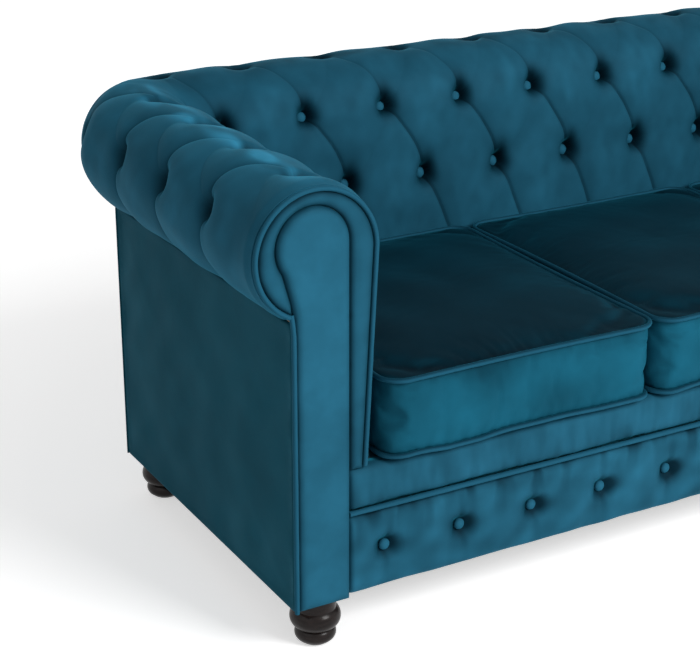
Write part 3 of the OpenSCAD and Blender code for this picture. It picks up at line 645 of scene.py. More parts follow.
@dataclass
class NodeTool:
    """A geometry tree with named inputs, whose result becomes a plain mesh.

    Attributes:
        inputs: names of its number inputs, with their values.
    """

    inputs: dict[str, float]

    def tree(self, finish: bpy.types.Material) -> bpy.types.NodeTree:
        """Builds the tree.

        Args:
            finish: material that it sets.

        Returns:
            The tree.
        """
        tree = bpy.data.node_groups.new(type(self).__name__, "GeometryNodeTree")
        tree.interface.new_socket("Geometry", in_out="INPUT", socket_type="NodeSocketGeometry")
        for name in self.inputs:
            tree.interface.new_socket(name, in_out="INPUT", socket_type="NodeSocketFloat")
        tree.interface.new_socket("Geometry", in_out="OUTPUT", socket_type="NodeSocketGeometry")
        nodes = Nodes(tree)
        shape = self.shape(nodes, nodes.add("NodeGroupInput"))
        real = nodes.add("GeometryNodeRealizeInstances", {0: shape})
        paint = nodes.add("GeometryNodeSetMaterial", {"Geometry": real.outputs[0], "Material": finish})
        nodes.add("NodeGroupOutput", {0: paint.outputs[0]})
        return tree

    def shape(self, nodes: Nodes, start: bpy.types.Node) -> Socket:
        """Adds the nodes that make the shape.

        Args:
            nodes: the tree.
            start: the tree's input.

        Returns:
            The shape.
        """
        raise NotImplementedError

    def apply(self, name: str, base: bpy.types.Mesh, finish: bpy.types.Material) -> bpy.types.Object:
        """Runs the tree on a mesh of points or lines.

        Args:
            name: name of the piece.
            base: mesh that carries the points or lines.
            finish: material.

        Returns:
            The piece, as a plain mesh.
        """
        carrier = add_object(name + "_base", base)
        tool = carrier.modifiers.new("Tool", "NODES")
        tool.node_group = self.tree(finish)
        for item in tool.node_group.interface.items_tree:
            if item.in_out == "INPUT" and item.name in self.inputs:
                tool[item.identifier] = float(self.inputs[item.name])
        graph = bpy.context.evaluated_depsgraph_get()
        mesh = bpy.data.meshes.new_from_object(carrier.evaluated_get(graph), depsgraph=graph)
        bpy.data.objects.remove(carrier)
        mesh.name = name
        mesh.shade_smooth()
        return add_object(name, mesh)


@dataclass
class ButtonTool(NodeTool):
    """Covered buttons, one at each point, turned along the point's direction."""

    least: float = 0.96
    most: float = 1.05

    def shape(self, nodes: Nodes, start: bpy.types.Node) -> Socket:
        """Adds the buttons, each a little larger or smaller.

        Args:
            nodes: the tree.
            start: the tree's input.

        Returns:
            Their instances.
        """
        given = start.outputs
        ball = nodes.add("GeometryNodeMeshUVSphere", {"Segments": 24, "Rings": 12, "Radius": given["Radius"]})
        size = nodes.add("ShaderNodeCombineXYZ", {0: 1, 1: 1, 2: given["Dome"]})
        squeeze = {"Geometry": ball.outputs["Mesh"], "Scale": size.outputs[0]}
        flat = nodes.add("GeometryNodeTransform", squeeze)
        way = nodes.add("GeometryNodeInputNamedAttribute", {"Name": "way"}, data_type="FLOAT_VECTOR")
        turn = nodes.add("FunctionNodeAlignRotationToVector", {"Vector": way.outputs["Attribute"]}, axis="Z")
        seed = nodes.add("FunctionNodeFloatToInt", {0: given["Seed"]})
        spread = {"Min": self.least, "Max": self.most, "Seed": seed.outputs[0]}
        vary = nodes.add("FunctionNodeRandomValue", spread, data_type="FLOAT")
        inputs = {
            "Points": given["Geometry"],
            "Instance": flat.outputs[0],
            "Rotation": turn.outputs[0],
            "Scale": [o for o in vary.outputs if o.enabled][0],
        }
        return nodes.add("GeometryNodeInstanceOnPoints", inputs).outputs[0]


@dataclass
class CordTool(NodeTool):
    """Round covered cord along a path, a little uneven as sewn cord is."""

    def shape(self, nodes: Nodes, start: bpy.types.Node) -> Socket:
        """Adds the cord.

        Args:
            nodes: the tree.
            start: the tree's input.

        Returns:
            Its surface.
        """
        given = start.outputs
        path = nodes.add("GeometryNodeMeshToCurve", {"Mesh": given["Geometry"]})
        ring = nodes.add("GeometryNodeCurvePrimitiveCircle", {"Resolution": 12, "Radius": given["Radius"]})
        sweep = {"Curve": path.outputs[0], "Profile Curve": ring.outputs[0], "Fill Caps": True}
        tube = nodes.add("GeometryNodeCurveToMesh", sweep)
        wave = nodes.add("ShaderNodeTexNoise", noise_dimensions="4D")
        nodes.fill(wave, {"Scale": 42, "W": given["Seed"]})
        level = nodes.math("MULTIPLY", nodes.span(wave.outputs["Fac"], 0, 1, -1, 1), given["Unevenness"])
        normal = nodes.add("GeometryNodeInputNormal").outputs[0]
        push = nodes.add("ShaderNodeVectorMath", {0: normal, "Scale": level}, operation="SCALE")
        move = nodes.add("GeometryNodeSetPosition", {"Geometry": tube.outputs[0], "Offset": push.outputs[0]})
        return move.outputs[0]


@dataclass
class Assembly:
    """A sub-assembly, with the calls that dress its pieces.

    Attributes:
        finish: materials by slot.
    """

    finish: Finishes

    def dress(
        self, piece: bpy.types.Object, slot: Slot, *nodes: str, body: str = "frame", fill: float | None = None
    ) -> None:
        """Gives a piece its finish and its body, and hides the nodes that it stands for.

        Args:
            piece: the piece.
            slot: its finish slot.
            nodes: the CAD nodes that it replaces.
            body: the body that it rides on.
            fill: how full it is, if it's padded; not used.
        """
        piece.data.materials.clear()
        piece.data.materials.append(self.finish[slot])
        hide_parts(*nodes)
        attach(piece, body)
        LOG.info("%s: %d faces", piece.name, len(piece.data.polygons))

    def buttons(
        self,
        node: str,
        points: Array,
        ways: Array,
        radius: float = 0.0105,
        dome: float = 0.62,
        seed: float = 4,
    ) -> None:
        """Makes and dresses a set of buttons.

        Args:
            node: node that they stand for.
            points: their places, in the frame.
            ways: their outward directions.
            radius: radius of a button.
            dome: height of a button's dome, as a share of its radius.
            seed: seed of the differences in size.
        """
        base = bpy.data.meshes.new(node + "_points")
        base.from_pydata(points.tolist(), [], [])
        mark = base.attributes.new("way", "FLOAT_VECTOR", "POINT")
        mark.data.foreach_set("vector", np.asarray(ways, np.float32).ravel())
        tool = ButtonTool({"Radius": radius, "Dome": dome, "Seed": seed})
        piece = tool.apply(node + "_covered", base, self.finish[Slot.BUTTON])
        self.dress(piece, Slot.BUTTON, node)

    def cord(
        self,
        node: str,
        path: Array,
        radius: float,
        uneven: float = 0.0005,
        seed: float = 0,
        body: str = "frame",
        closed: bool = False,
    ) -> None:
        """Makes and dresses a piping.

        Args:
            node: node that it stands for.
            path: its points, in the frame.
            radius: its radius.
            uneven: height of its unevenness.
            seed: seed of the unevenness.
            body: the body that it rides on.
            closed: whether it is a loop.
        """
        count = len(path)
        edges = [(i, (i + 1) % count) for i in range(count if closed else count - 1)]
        base = bpy.data.meshes.new(node + "_path")
        base.from_pydata(np.asarray(path).tolist(), edges, [])
        tool = CordTool({"Radius": radius, "Unevenness": uneven, "Seed": seed})
        piece = tool.apply(node + "_cord", base, self.finish[Slot.CORD])
        self.dress(piece, Slot.CORD, node, body=body)


# How the tufted cloth falls: widths and depths in metres; painted shades and highlights (lips, creases,
# valleys, over and round the pits) as shares of the pile's colour
LOBE_POWER = 2.3
LOBE_WIDTH = 1.8
STEP_BEHIND = 0.016
STEP_BEFORE = 0.0025
CREASE_WIDTH = 0.0024
CREASE_DEPTH = 0.0022
CREASE_SHADE = 0.30
SOFT_SHARE = 0.4
SOFT_WIDTH = 0.012
LIP_WIDTH = 0.011
LIP_EDGE = 0.004
LEE_WIDTH = 0.022
VALLEY_SHADE = 0.12
PIT_RAYS = 5
PIT_RAY_DEPTH = 0.13
PIT_POWER = 3.2
OVER_AT = 0.030
OVER_WIDTH = 0.012
OVER_HEIGHT = 0.020
ROUND_SHADE = 0.22
ROUND_AT = 0.004
ROUND_WIDTH = 0.024
ROUND_HEIGHT = 0.022
UNEVEN_WAVE = 0.05
UNEVEN_DEPTH = 0.0011
DARKEST, LIGHTEST = -0.93, 1.3
BACKING_DEPTH = 0.040
END_ROOM = 0.025
ROUNDING = 1e-6


@dataclass(frozen=True)
class Pit:
    """The pit at a button: its depth, and its reach back and on along the pad, and up and down it."""

    depth: float = 0.038
    back: float = 0.015
    on: float = 0.015
    up: float = 0.018
    down: float = 0.018


@dataclass(frozen=True)
class PadGrid:
    """The points of a pad.

    Attributes:
        face: grid of face points.
        inner: grid of backing points, with fewer lines and columns.
        nap: painted light and shade at the face's points, with random tone.
        lattice: place of each column in the button pattern.
        spots: place of each button along the pad and along its section, and its row.
    """

    face: Array
    inner: Array
    nap: Array
    lattice: Array
    spots: list[Spot]


@dataclass
class RollPad:
    """A rolled, buttoned pad: the section of one roll, its rows of buttons and its tufting.

    Attributes:
        foot: offset of the face from the roll's axis at the platform.
        start_angle: angle of the seam under the roll.
        row_angles: angles of the rows on the roll.
        row_shares: heights of the rows on the flat face, as shares of it from the roll down.
        first_button: place of the first button of the even rows along the pad.
        pitch: distance between the buttons of a row.
        lean: 1 where the crisp folds run down to the right along the pad, else -1.
        arcs: bulge of the folds between two rows, in half pitches.
        pits: the pits of each row.
        marks: strength of the crisp folds from the seam on, in steps of half a row.
        crown: painted highlight along the second row, or painted shade where it is below 0, how far past the
            row, and how wide.
        puff: depth of the valleys between the lobes.
        fold: height of a crisp fold's step.
        bend_at: where the pad's bend into the next roll starts.
        bend_way: 1 where the bend is after that place, -1 where it's before it.
        seed: start of its uneven waves.
        tone: painted light added everywhere; below 0, painted shade over the whole pad.
        shine: painted highlight along a fold's lip.
        shadow: painted shadow in a pit.
        above: painted shade over a pit.
        lee: painted shade behind a fold.
        streak: strength of its uneven streaks.
        button_rise: height of the buttons' middles over the bottom of the pits.
        cells: grid cells in half a pitch.
        thin_end: end of the thin part of the pad that lies behind a facing.
    """

    foot: float
    start_angle: float
    row_angles: tuple[float, ...]
    row_shares: tuple[float, ...]
    first_button: float
    pitch: float
    lean: int
    arcs: tuple[float, ...]
    pits: tuple[Pit, ...]
    marks: tuple[float, ...]
    crown: tuple[float, float, float]
    puff: float
    fold: float
    bend_at: float
    bend_way: int
    seed: int = 3
    tone: float = 0.0
    shine: float = 0.35
    shadow: float = 0.93
    above: float = 0.10
    lee: float = 0.26
    streak: float = 0.07
    button_rise: float = 0.0
    cells: int = 26
    thin_end: float = -1.0

    def __post_init__(self) -> None:
        """Works out the section's lengths and the grid's lines."""
        self.half = self.pitch / 2
        self.arc = ROLL_R * math.radians(self.start_angle)
        self.slope = (self.foot - ROLL_R) / INNER_H
        on_roll = [ROLL_R * math.radians(self.start_angle - a) for a in self.row_angles]
        on_face = [self.arc + share * INNER_H for share in self.row_shares]
        self.rows = np.array([0.0, *on_roll, *on_face, self.arc + INNER_H])
        last = len(self.rows) - 1
        self.lines = np.interp(np.arange(last * self.cells + 1) / self.cells, np.arange(last + 1), self.rows)

    def section(self, s: Array, sink: Array) -> tuple[Array, Array]:
        """Gives the section's points.

        Args:
            s: distances along the section.
            sink: how deep the points lie under it.

        Returns:
            Offsets from the roll's axis, and heights.
        """
        angle = math.radians(self.start_angle) - s / ROLL_R
        norm = math.hypot(1, self.slope)
        down = s - self.arc
        on_roll = down < 0
        radius = ROLL_R - sink
        u = np.where(on_roll, radius * np.cos(angle), ROLL_R + self.slope * down - sink / norm)
        z = np.where(on_roll, AXIS_Z + radius * np.sin(angle), AXIS_Z - down - sink * self.slope / norm)
        return u, z

    def offset(self, s: Array) -> Array:
        """Returns: the offsets of the unsunk face from the axis at distances s."""
        return self.section(s, np.zeros_like(s))[0]

    def row_of(self, s: Array) -> Array:
        """Returns: the rows' numbers at distances s, with shares between them."""
        return np.interp(s, self.rows, np.arange(len(self.rows)))

    def arc_shift(self, s: Array) -> Array:
        """Returns: how far the folds bulge along the pad at distances s, in metres."""
        r = self.row_of(s)
        k = np.clip(np.floor(r).astype(int), 0, len(self.arcs) - 1)
        return self.half * (np.array(self.arcs)[k] * np.sin(np.pi * (r - k)))

    def meeting(self, s: Array, foot: float) -> Array:
        """Returns: the offset at s of the pad that this one meets, whose foot has this offset."""
        slope = (foot - ROLL_R) / INNER_H
        return np.where(s < self.arc, self.offset(s), ROLL_R + slope * np.maximum(s - self.arc, 0))

    def bends(self, s: Array) -> tuple[Array, Array]:
        """Returns: which lines along the pad bend round the corner, and the radius of each."""
        u = self.offset(s)
        return (u < BEND) & (s < self.arc), np.maximum(BEND - u, 1e-4)

    def turning(self, s: Array, real: Array) -> tuple[Array, Array]:
        """Gives the turns of places round the corner.

        Args:
            s: distances along the section.
            real: lengths along the pad.

        Returns:
            Which places lie in the bend, and how far each is turned, in radians.
        """
        bent, radius = self.bends(s)
        past = self.bend_way * (real - self.bend_at)
        bent = bent & (past > 0)
        return bent, np.where(bent, past / radius, 0.0)

    def pattern(self, s: Array, real: Array) -> Array:
        """Returns: the places in the button pattern of real lengths along the pad."""
        bent, radius = self.bends(s)
        bent = bent & (self.bend_way * (real - self.bend_at) > 0)
        run = radius * math.pi / 4
        return np.where(bent, self.bend_at + (real - self.bend_at) / run * BEND_RUN, real)

    def real(self, s: float, q: float) -> float:
        """Returns: the real length along the pad of a place in the button pattern."""
        u = float(self.offset(np.array([s]))[0])
        if u < BEND and s < self.arc and self.bend_way * (q - self.bend_at) > 0:
            return self.bend_at + (q - self.bend_at) / BEND_RUN * (BEND - u) * math.pi / 4
        return q

    def pattern_spots(self, low: float, high: float) -> list[Spot]:
        """Returns: the buttons from low to high, in half pitches of the pattern from the first one."""
        return [
            (self.first_button + c * self.half, float(self.rows[r]), r)
            for r in range(1, len(self.rows) - 1)
            for c in range(math.ceil(low), math.floor(high) + 1)
            if (c + r) % 2 == 0
        ]

    def tuft(self, c: Array, s: Array, length: Array, spots: list[Spot]) -> tuple[Array, Array]:
        """Gives the depth of the tufting, and its painted light and shade.

        Args:
            c: distances along the pad, in half pitches from the first button.
            s: distances along the section.
            length: distances along the pad in metres.
            spots: the buttons.

        Returns:
            Depths under the plain section, and painted light and shade with random tone.
        """
        r = self.row_of(s)
        held = np.clip(r, 1, len(self.rows) - 1.0)
        crisp = (c - self.lean * held) / 2
        soft = (c + self.lean * held) / 2
        fa, fb = crisp - np.floor(crisp), soft - np.floor(soft)
        dome = (1 - np.abs(2 * fa - 1) ** LOBE_POWER) * (1 - np.abs(2 * fb - 1) ** LOBE_POWER)
        near = np.interp(2 * r, np.arange(len(self.marks)), self.marks)
        width = LOBE_WIDTH * self.half
        behind, before = fa * width, (1 - fa) * width
        step = np.where(fa < 0.5, np.exp(-behind / STEP_BEHIND), np.exp(-before / STEP_BEFORE))
        crease = near * np.exp(-np.minimum(fa, 1 - fa) * width / CREASE_WIDTH)
        soft_line = SOFT_SHARE * self.puff * np.exp(-np.minimum(fb, 1 - fb) * width / SOFT_WIDTH)
        depth = self.puff * (1 - dome) + self.fold * near * step + CREASE_DEPTH * crease + soft_line
        # Painted highlight along each fold's lip; painted shade in the creases, in the valleys and behind the
        # folds
        lip = near * np.exp(-before / LIP_WIDTH) * smooth_step(before, 0.0, LIP_EDGE)
        nap = self.tone + self.shine * lip - CREASE_SHADE * crease - VALLEY_SHADE * (1 - dome)
        nap -= self.lee * near * np.exp(-behind / LEE_WIDTH)
        # Painted highlight or painted shade along the second row, in random patches, and random streaks of
        # tone
        gain, shift, spread = self.crown
        patches = Lumps(self.seed + 20, 0.030, 30).at(length * 0.6, s)
        nap += gain * bell(s - self.rows[2] - shift, spread) * np.clip(0.55 + 0.9 * patches, 0, 1.6)
        nap += self.streak * Lumps(self.seed + 21, 0.022, 30).at(length, s * 0.7) * dome
        for k, spot in enumerate(spots):
            self.sink_button(k, spot, s, length, depth, nap)
        return depth, np.clip(nap, DARKEST, LIGHTEST)

    def sink_button(self, k: int, spot: Spot, s: Array, length: Array, depth: Array, nap: Array) -> None:
        """Adds the pit of one button to the depths, with its painted shadow and shade.

        Args:
            k: number of the button.
            spot: its place and row.
            s: distances along the section.
            length: distances along the pad.
            depth: depths, which are changed.
            nap: painted light and shade, which is changed.
        """
        at, middle, row = spot
        pit = self.pits[row - 1]
        dx, dy = length - at, s - middle
        close = (np.abs(dx) < 5 * max(pit.back, pit.on)) & (np.abs(dy) < 4 * max(pit.up, pit.down))
        if not close.any():
            return
        dx, dy = dx[close], dy[close]
        x, y = dx / np.where(dx < 0, pit.back, pit.on), dy / np.where(dy < 0, pit.up, pit.down)
        far = np.hypot(x, y)
        ray = 1 + PIT_RAY_DEPTH * np.cos(PIT_RAYS * np.arctan2(y, x) + k) * np.exp(-far)
        hole = 1.06 / (1 + (far * ray) ** PIT_POWER) - 0.06 / (1 + far)
        hole = np.clip(hole, 0, 1) * bell(far, 3.2)
        depth[close] = pit.depth * hole + depth[close] * (1 - hole)
        # Painted shadow in the pit, and painted shade over the pit and round it
        shade = nap[close]
        shade -= (self.shadow + shade) * np.clip(1.25 * hole, 0, 1)
        shade -= self.above * bell(dx, OVER_WIDTH) * bell(dy + OVER_AT, OVER_HEIGHT)
        shade -= ROUND_SHADE * bell(dx + ROUND_AT, ROUND_WIDTH) * bell(dy, ROUND_HEIGHT)
        nap[close] = shade

    def close(self, grid: PadGrid) -> tuple[Array, list[Face]]:
        """Closes a face grid with its coarse backing.

        Args:
            grid: the pad's grids.

        Returns:
            The points and the faces, all turned the same way.
        """
        n, m = grid.face.shape[:2]
        index = np.arange(n * m).reshape(n, m)
        rows = np.floor(self.row_of(self.lines)[:-1, None] + ROUNDING).astype(int)
        cols = np.floor(grid.lattice[:-1] + ROUNDING).astype(int)
        falls = ((rows + cols) % 2 == 0).reshape(-1, 1)
        cell = quads(index)
        first = np.where(falls, cell[:, [0, 1, 2]], cell[:, [0, 1, 3]])
        second = np.where(falls, cell[:, [0, 2, 3]], cell[:, [1, 2, 3]])
        p, q = grid.inner.shape[:2]
        back = np.arange(p * q).reshape(p, q) + n * m
        faces: list[Face] = [*map(tuple, first.tolist()), *map(tuple, second.tolist())]
        faces += map(tuple, quads(back)[:, [0, 3, 2, 1]].tolist())
        rims = [(g[0], g[:, -1], g[-1][::-1], g[::-1, 0]) for g in (index, back)]
        for line, edge in zip(*rims):
            faces += [tuple(reversed(t)) for t in zip_strip(line.tolist(), edge.tolist())]
        return np.concatenate([grid.face.reshape(-1, 3), grid.inner.reshape(-1, 3)]), faces

    def lay(self) -> tuple[Array, Array, Array, list[Spot]]:
        """Lays the columns of the grid along the pad.

        Returns:
            Lengths along the pad, distances from its end, places in the button pattern in half pitches from
            the first button, and the buttons.
        """
        raise NotImplementedError

    def plan(self, s: Array, u: Array, real: Array) -> tuple[Array, Array]:
        """Gives places in the plan.

        Args:
            s: distances along the section.
            u: offsets from the roll's axis.
            real: lengths along the pad.

        Returns:
            The x and y of each.
        """
        raise NotImplementedError

    def backing_columns(self, count: int) -> Array:
        """Returns: the columns that the backing keeps, of this many."""
        return np.linspace(0, count - 1, 25)

    def gather(self, real: Array) -> tuple[Array | float, Array | float, Array | float]:
        """Returns: shares of the painted light and shade and of the tufting, and a sink, at lengths along the
        pad.
        """
        return 1.0, 1.0, 0.0

    def points(self, s: Array, sink: Array, real: Array) -> Array:
        """Returns: points at distances along the section, sinks under it and lengths along the pad."""
        u, z = self.section(s, sink)
        x, y = self.plan(s, u, real)
        return np.stack([x, y, z], -1)

    def grid(self) -> PadGrid:
        """Returns: the pad's grids."""
        real, gap, c, spots = self.lay()
        s = np.broadcast_to(self.lines[:, None], real.shape)
        depth, nap = self.tuft(c, s, real, spots)
        flat = smooth_step(gap, 0.0, 0.035) * smooth_step(s, 0.0, 0.02)
        marks, front, sink = self.gather(real)
        lumps = Lumps(self.seed, UNEVEN_WAVE).at(real, s)
        depth = depth * flat * front + sink
        depth += UNEVEN_DEPTH * (lumps + 1) * front * smooth_step(gap, 0, 0.05)
        i = np.unique(np.linspace(0, real.shape[0] - 1, 22).astype(int))
        sub = np.ix_(i, np.unique(self.backing_columns(real.shape[1]).astype(int)))
        thick = np.where(real[sub] < self.thin_end, FACING_T, BACKING_DEPTH)
        inner = self.points(s[sub], thick, real[sub])
        return PadGrid(self.points(s, depth, real), inner, nap * flat * marks, c[-1], spots)

    def normals(self, spots: list[Spot]) -> tuple[Array, Array]:
        """Gives the buttons' places and directions.

        Args:
            spots: the buttons.

        Returns:
            Points from the left front corner, and unit normals.
        """
        real, s = np.array([spot[0] for spot in spots]), np.array([spot[1] for spot in spots])
        bottom = np.array([self.pits[row - 1].depth for _, _, row in spots]) - self.button_rise
        low, high = (self.points(s, sink, real) for sink in (bottom, bottom - 0.010))
        return low, (high - low) / np.linalg.norm(high - low, axis=1)[:, None]


@dataclass
class ArmPad(RollPad):
    """The left arm's pad, from the facing back to the mitre. The right one is its mirror image."""

    foot: float = ARM_FOOT
    start_angle: float = ARM_SEAM
    row_angles: tuple[float, ...] = (159.0, 77.0)
    row_shares: tuple[float, ...] = (0.08, 0.46)
    first_button: float = 0.100
    pitch: float = 0.15867
    lean: int = -1
    arcs: tuple[float, ...] = (0.14, 0.5, 0.05, 0.1)
    pits: tuple[Pit, ...] = (
        Pit(0.038, 0.0125, 0.0095, 0.015, 0.017),
        Pit(0.032, 0.024, 0.007, 0.024, 0.024),
        Pit(),
        Pit(),
    )
    marks: tuple[float, ...] = (0.7, 0.7, 0.7, 0.9, 0.0, 0.1, 0.4, 0.5, 0.5, 0.5, 0.5)
    # Painted highlight along the arm's crown
    crown: tuple[float, float, float] = (1.5, -0.018, 0.024)
    puff: float = 0.0036
    fold: float = 0.0044
    bend_at: float = BEND_Y
    bend_way: int = 1
    thin_end: float = 0.034

    def ends(self, s: Array) -> Array:
        """Returns: the pad's real length at distances s along the section, from the facing's front."""
        bent, _ = self.bends(s)
        round_corner = BEND_Y + np.maximum(BEND - self.offset(s), 0) * math.pi / 4
        return np.where(bent, round_corner, BACK_AXIS_Y - self.meeting(s, BACK_FOOT))

    def plan(self, s: Array, u: Array, real: Array) -> tuple[Array, Array]:
        """Gives places in the plan.

        Args:
            s: distances along the section.
            u: offsets from the roll's axis.
            real: lengths along the pad.

        Returns:
            The x and y of each.
        """
        bent, turn = self.turning(s, real)
        x = np.where(bent, BEND_X - (BEND - u) * np.cos(turn), ARM_AXIS_X + u)
        y = np.where(bent, BEND_Y + (BEND - u) * np.sin(turn), real)
        return x, y

    def gather(self, real: Array) -> tuple[Array | float, Array | float, Array | float]:
        """Returns: shares of the painted light and shade and of the tufting, and a sink, which fade or gather
        at the facing.
        """
        sink = 0.0045 * (1 - smooth_step(real, FACING_T, 0.032))
        return smooth_step(real, FACING_T, 0.06), smooth_step(real, FACING_T, 0.075), sink

    def backing_columns(self, count: int) -> Array:
        """Returns: the columns that the backing keeps: two at the facing, and the rest evenly."""
        return np.concatenate([[0, 12], np.linspace(30, count - 1, 12)])

    def lay(self) -> tuple[Array, Array, Array, list[Spot]]:
        """Lays the columns from the facing to the mitre, with whole half pitches as far as they go.

        Returns:
            Lengths, distances from the mitre, places in the button pattern, and the buttons.
        """
        whole_pitches = 5
        n = self.cells
        first = math.ceil((FACING_T - self.first_button) / self.half * n)
        start = self.first_button + np.arange(first, whole_pitches * n + 1) / n * self.half
        start[0] = FACING_T
        longest = float(self.ends(self.lines).max())
        spare = math.ceil((longest - self.first_button - whole_pitches * self.half) / self.half * n)
        steps = np.arange(1, spare + 1) / spare
        end = self.ends(self.lines)[:, None]
        real = np.concatenate([np.tile(start, (len(end), 1)), start[-1] + (end - start[-1]) * steps], 1)
        s = np.broadcast_to(self.lines[:, None], real.shape)
        c = (self.pattern(s, real) - self.first_button) / self.half
        free = smooth_step(real, FACING_T, 0.10) * smooth_step(end - real, 0, 0.06)
        real = real + self.arc_shift(s) * free
        spots = []
        for at, line, row in self.pattern_spots(0, 7.6):
            place = self.real(line, at)
            if float(self.ends(np.array([line]))[0]) - place > END_ROOM:
                spots.append((place, line, row))
        return real, end - real, c, spots


@dataclass
class BackPad(RollPad):
    """The back's pad, from mitre to mitre: its left half and the mirror image."""

    foot: float = BACK_FOOT
    start_angle: float = 270 + math.degrees(math.asin(BACK_OUT / ROLL_R))
    row_angles: tuple[float, ...] = (208.0, 97.0, 12.0)
    row_shares: tuple[float, ...] = (0.333,)
    first_button: float = 0.110
    pitch: float = 0.1586
    lean: int = 1
    arcs: tuple[float, ...] = (0.0, 0.0, 0.2, 0.14, 0.1)
    pits: tuple[Pit, ...] = (
        Pit(0.036, 0.015, 0.015, 0.017, 0.017),
        Pit(0.024, 0.019, 0.015, 0.007, 0.015),
        Pit(0.040, 0.0150, 0.0115, 0.022, 0.014),
        Pit(0.038, 0.0150, 0.0115, 0.021, 0.014),
    )
    marks: tuple[float, ...] = (0.5, 0.5, 0.5, 0.3, 0.1, 0.35, 0.9, 1.0, 1.0, 1.0, 1.0)
    # Painted shade along the back's crown
    crown: tuple[float, float, float] = (-0.30, 0.004, 0.030)
    puff: float = 0.0014
    fold: float = 0.0016
    bend_at: float = BEND_X
    bend_way: int = -1
    seed: int = 8
    # Painted shade over the whole back; a weaker painted highlight on the lips, more painted shade over the
    # pits and less behind the folds
    tone: float = -0.20
    shine: float = 0.12
    above: float = 0.30
    lee: float = 0.10
    button_rise: float = 0.003

    def lengths(self, s: Array) -> Array:
        """Returns: the real length of the bend or mitre's end at distances s, left of the bend's start."""
        bent, radius = self.bends(s)
        angle = self.start_angle - np.degrees(s / ROLL_R)
        under = (angle > ARM_SEAM + 1.0) & bent
        reach = np.arcsin(np.clip((BASE_D + 0.0005 - BEND_Y) / radius, -1, 1))
        straight = BEND_X - ARM_AXIS_X - self.meeting(s, ARM_FOOT)
        return np.where(under, radius * (math.pi / 2 - reach), np.where(bent, radius * math.pi / 4, straight))

    def plan(self, s: Array, u: Array, real: Array) -> tuple[Array, Array]:
        """Gives places in the plan.

        Args:
            s: distances along the section.
            u: offsets from the roll's axis.
            real: lengths along the pad, as x where the pad is straight.

        Returns:
            The x and y of each.
        """
        half, other = self.halved(real)
        bent, turn = self.turning(s, half)
        x = np.where(bent, BEND_X - (BEND - u) * np.sin(turn), half)
        y = np.where(bent, BEND_Y + (BEND - u) * np.cos(turn), BACK_AXIS_Y - u)
        return np.where(other, BASE_W - x, x), y

    @staticmethod
    def halved(real: Array) -> tuple[Array, Array]:
        """Returns: lengths of the right half mirrored to the left one, and which ones they are."""
        other = real > BASE_W / 2
        return np.where(other, BASE_W - real, real), other

    def lay(self) -> tuple[Array, Array, Array, list[Spot]]:
        """Lays the columns from mitre to mitre, with whole half pitches between the ends.

        Returns:
            Lengths, distances from the nearer mitre, places in the button pattern, and the buttons.
        """
        last_pitch = 19
        n = self.cells
        start = self.first_button + np.arange(n, last_pitch * n + 1) / n * self.half
        end = BEND_X - self.lengths(self.lines)[:, None]
        spare = math.ceil((start[0] - float(end.min())) / self.half * n)
        left = end + (start[0] - end) * (np.arange(spare) / spare)
        real = np.concatenate([left, np.tile(start, (len(left), 1)), BASE_W - left[:, ::-1]], 1)
        s = np.broadcast_to(self.lines[:, None], real.shape)
        half, other = self.halved(real)
        q = self.pattern(s, half)
        c = (np.where(other, BASE_W - q, q) - self.first_button) / self.half
        real = real + self.arc_shift(s) * smooth_step(half - end, 0, 0.10)
        spots = []
        for at, line, row in self.pattern_spots(-1, 21):
            flip = at > BASE_W / 2
            near = self.real(line, BASE_W - at if flip else at)
            if near - (BEND_X - float(self.lengths(np.array([line]))[0])) > END_ROOM:
                spots.append((BASE_W - near if flip else near, line, row))
        return real, self.halved(real)[0] - end, c, spots


@dataclass
class Upholstery(Assembly):
    """Fixed upholstery of the two arms and the back: tufted pads and their buttons.

    Attributes:
        arm: the left arm's pad.
        back: the back's pad.
    """

    arm: ArmPad = field(default_factory=ArmPad)
    back: BackPad = field(default_factory=BackPad)

    def pad(self, name: str, shape: RollPad, grid: PadGrid, side: Side = Side.LEFT) -> None:
        """Builds and dresses one pad with its buttons.

        Args:
            name: start of its nodes' names.
            shape: section and tufting.
            grid: its grids.
            side: end of the sofa.
        """
        points, faces = shape.close(grid)
        piece = make_piece(
            f"{name}_pad_cover", points, outward(points, faces), side, grid.face.shape[:2], grid.nap
        )
        self.dress(piece, Slot.VELVET, f"{name}_pad", fill=0.85)
        places, ways = shape.normals(grid.spots)
        self.buttons(f"{name}_buttons", to_frame(places, side), ways * (side.value, 1, 1))

    def build(self) -> None:
        """Builds the three pads."""
        grid = self.arm.grid()
        for side in Side:
            self.pad(f"{side.word}_arm", self.arm, grid, side)
        self.pad("back", self.back, self.back.grid())


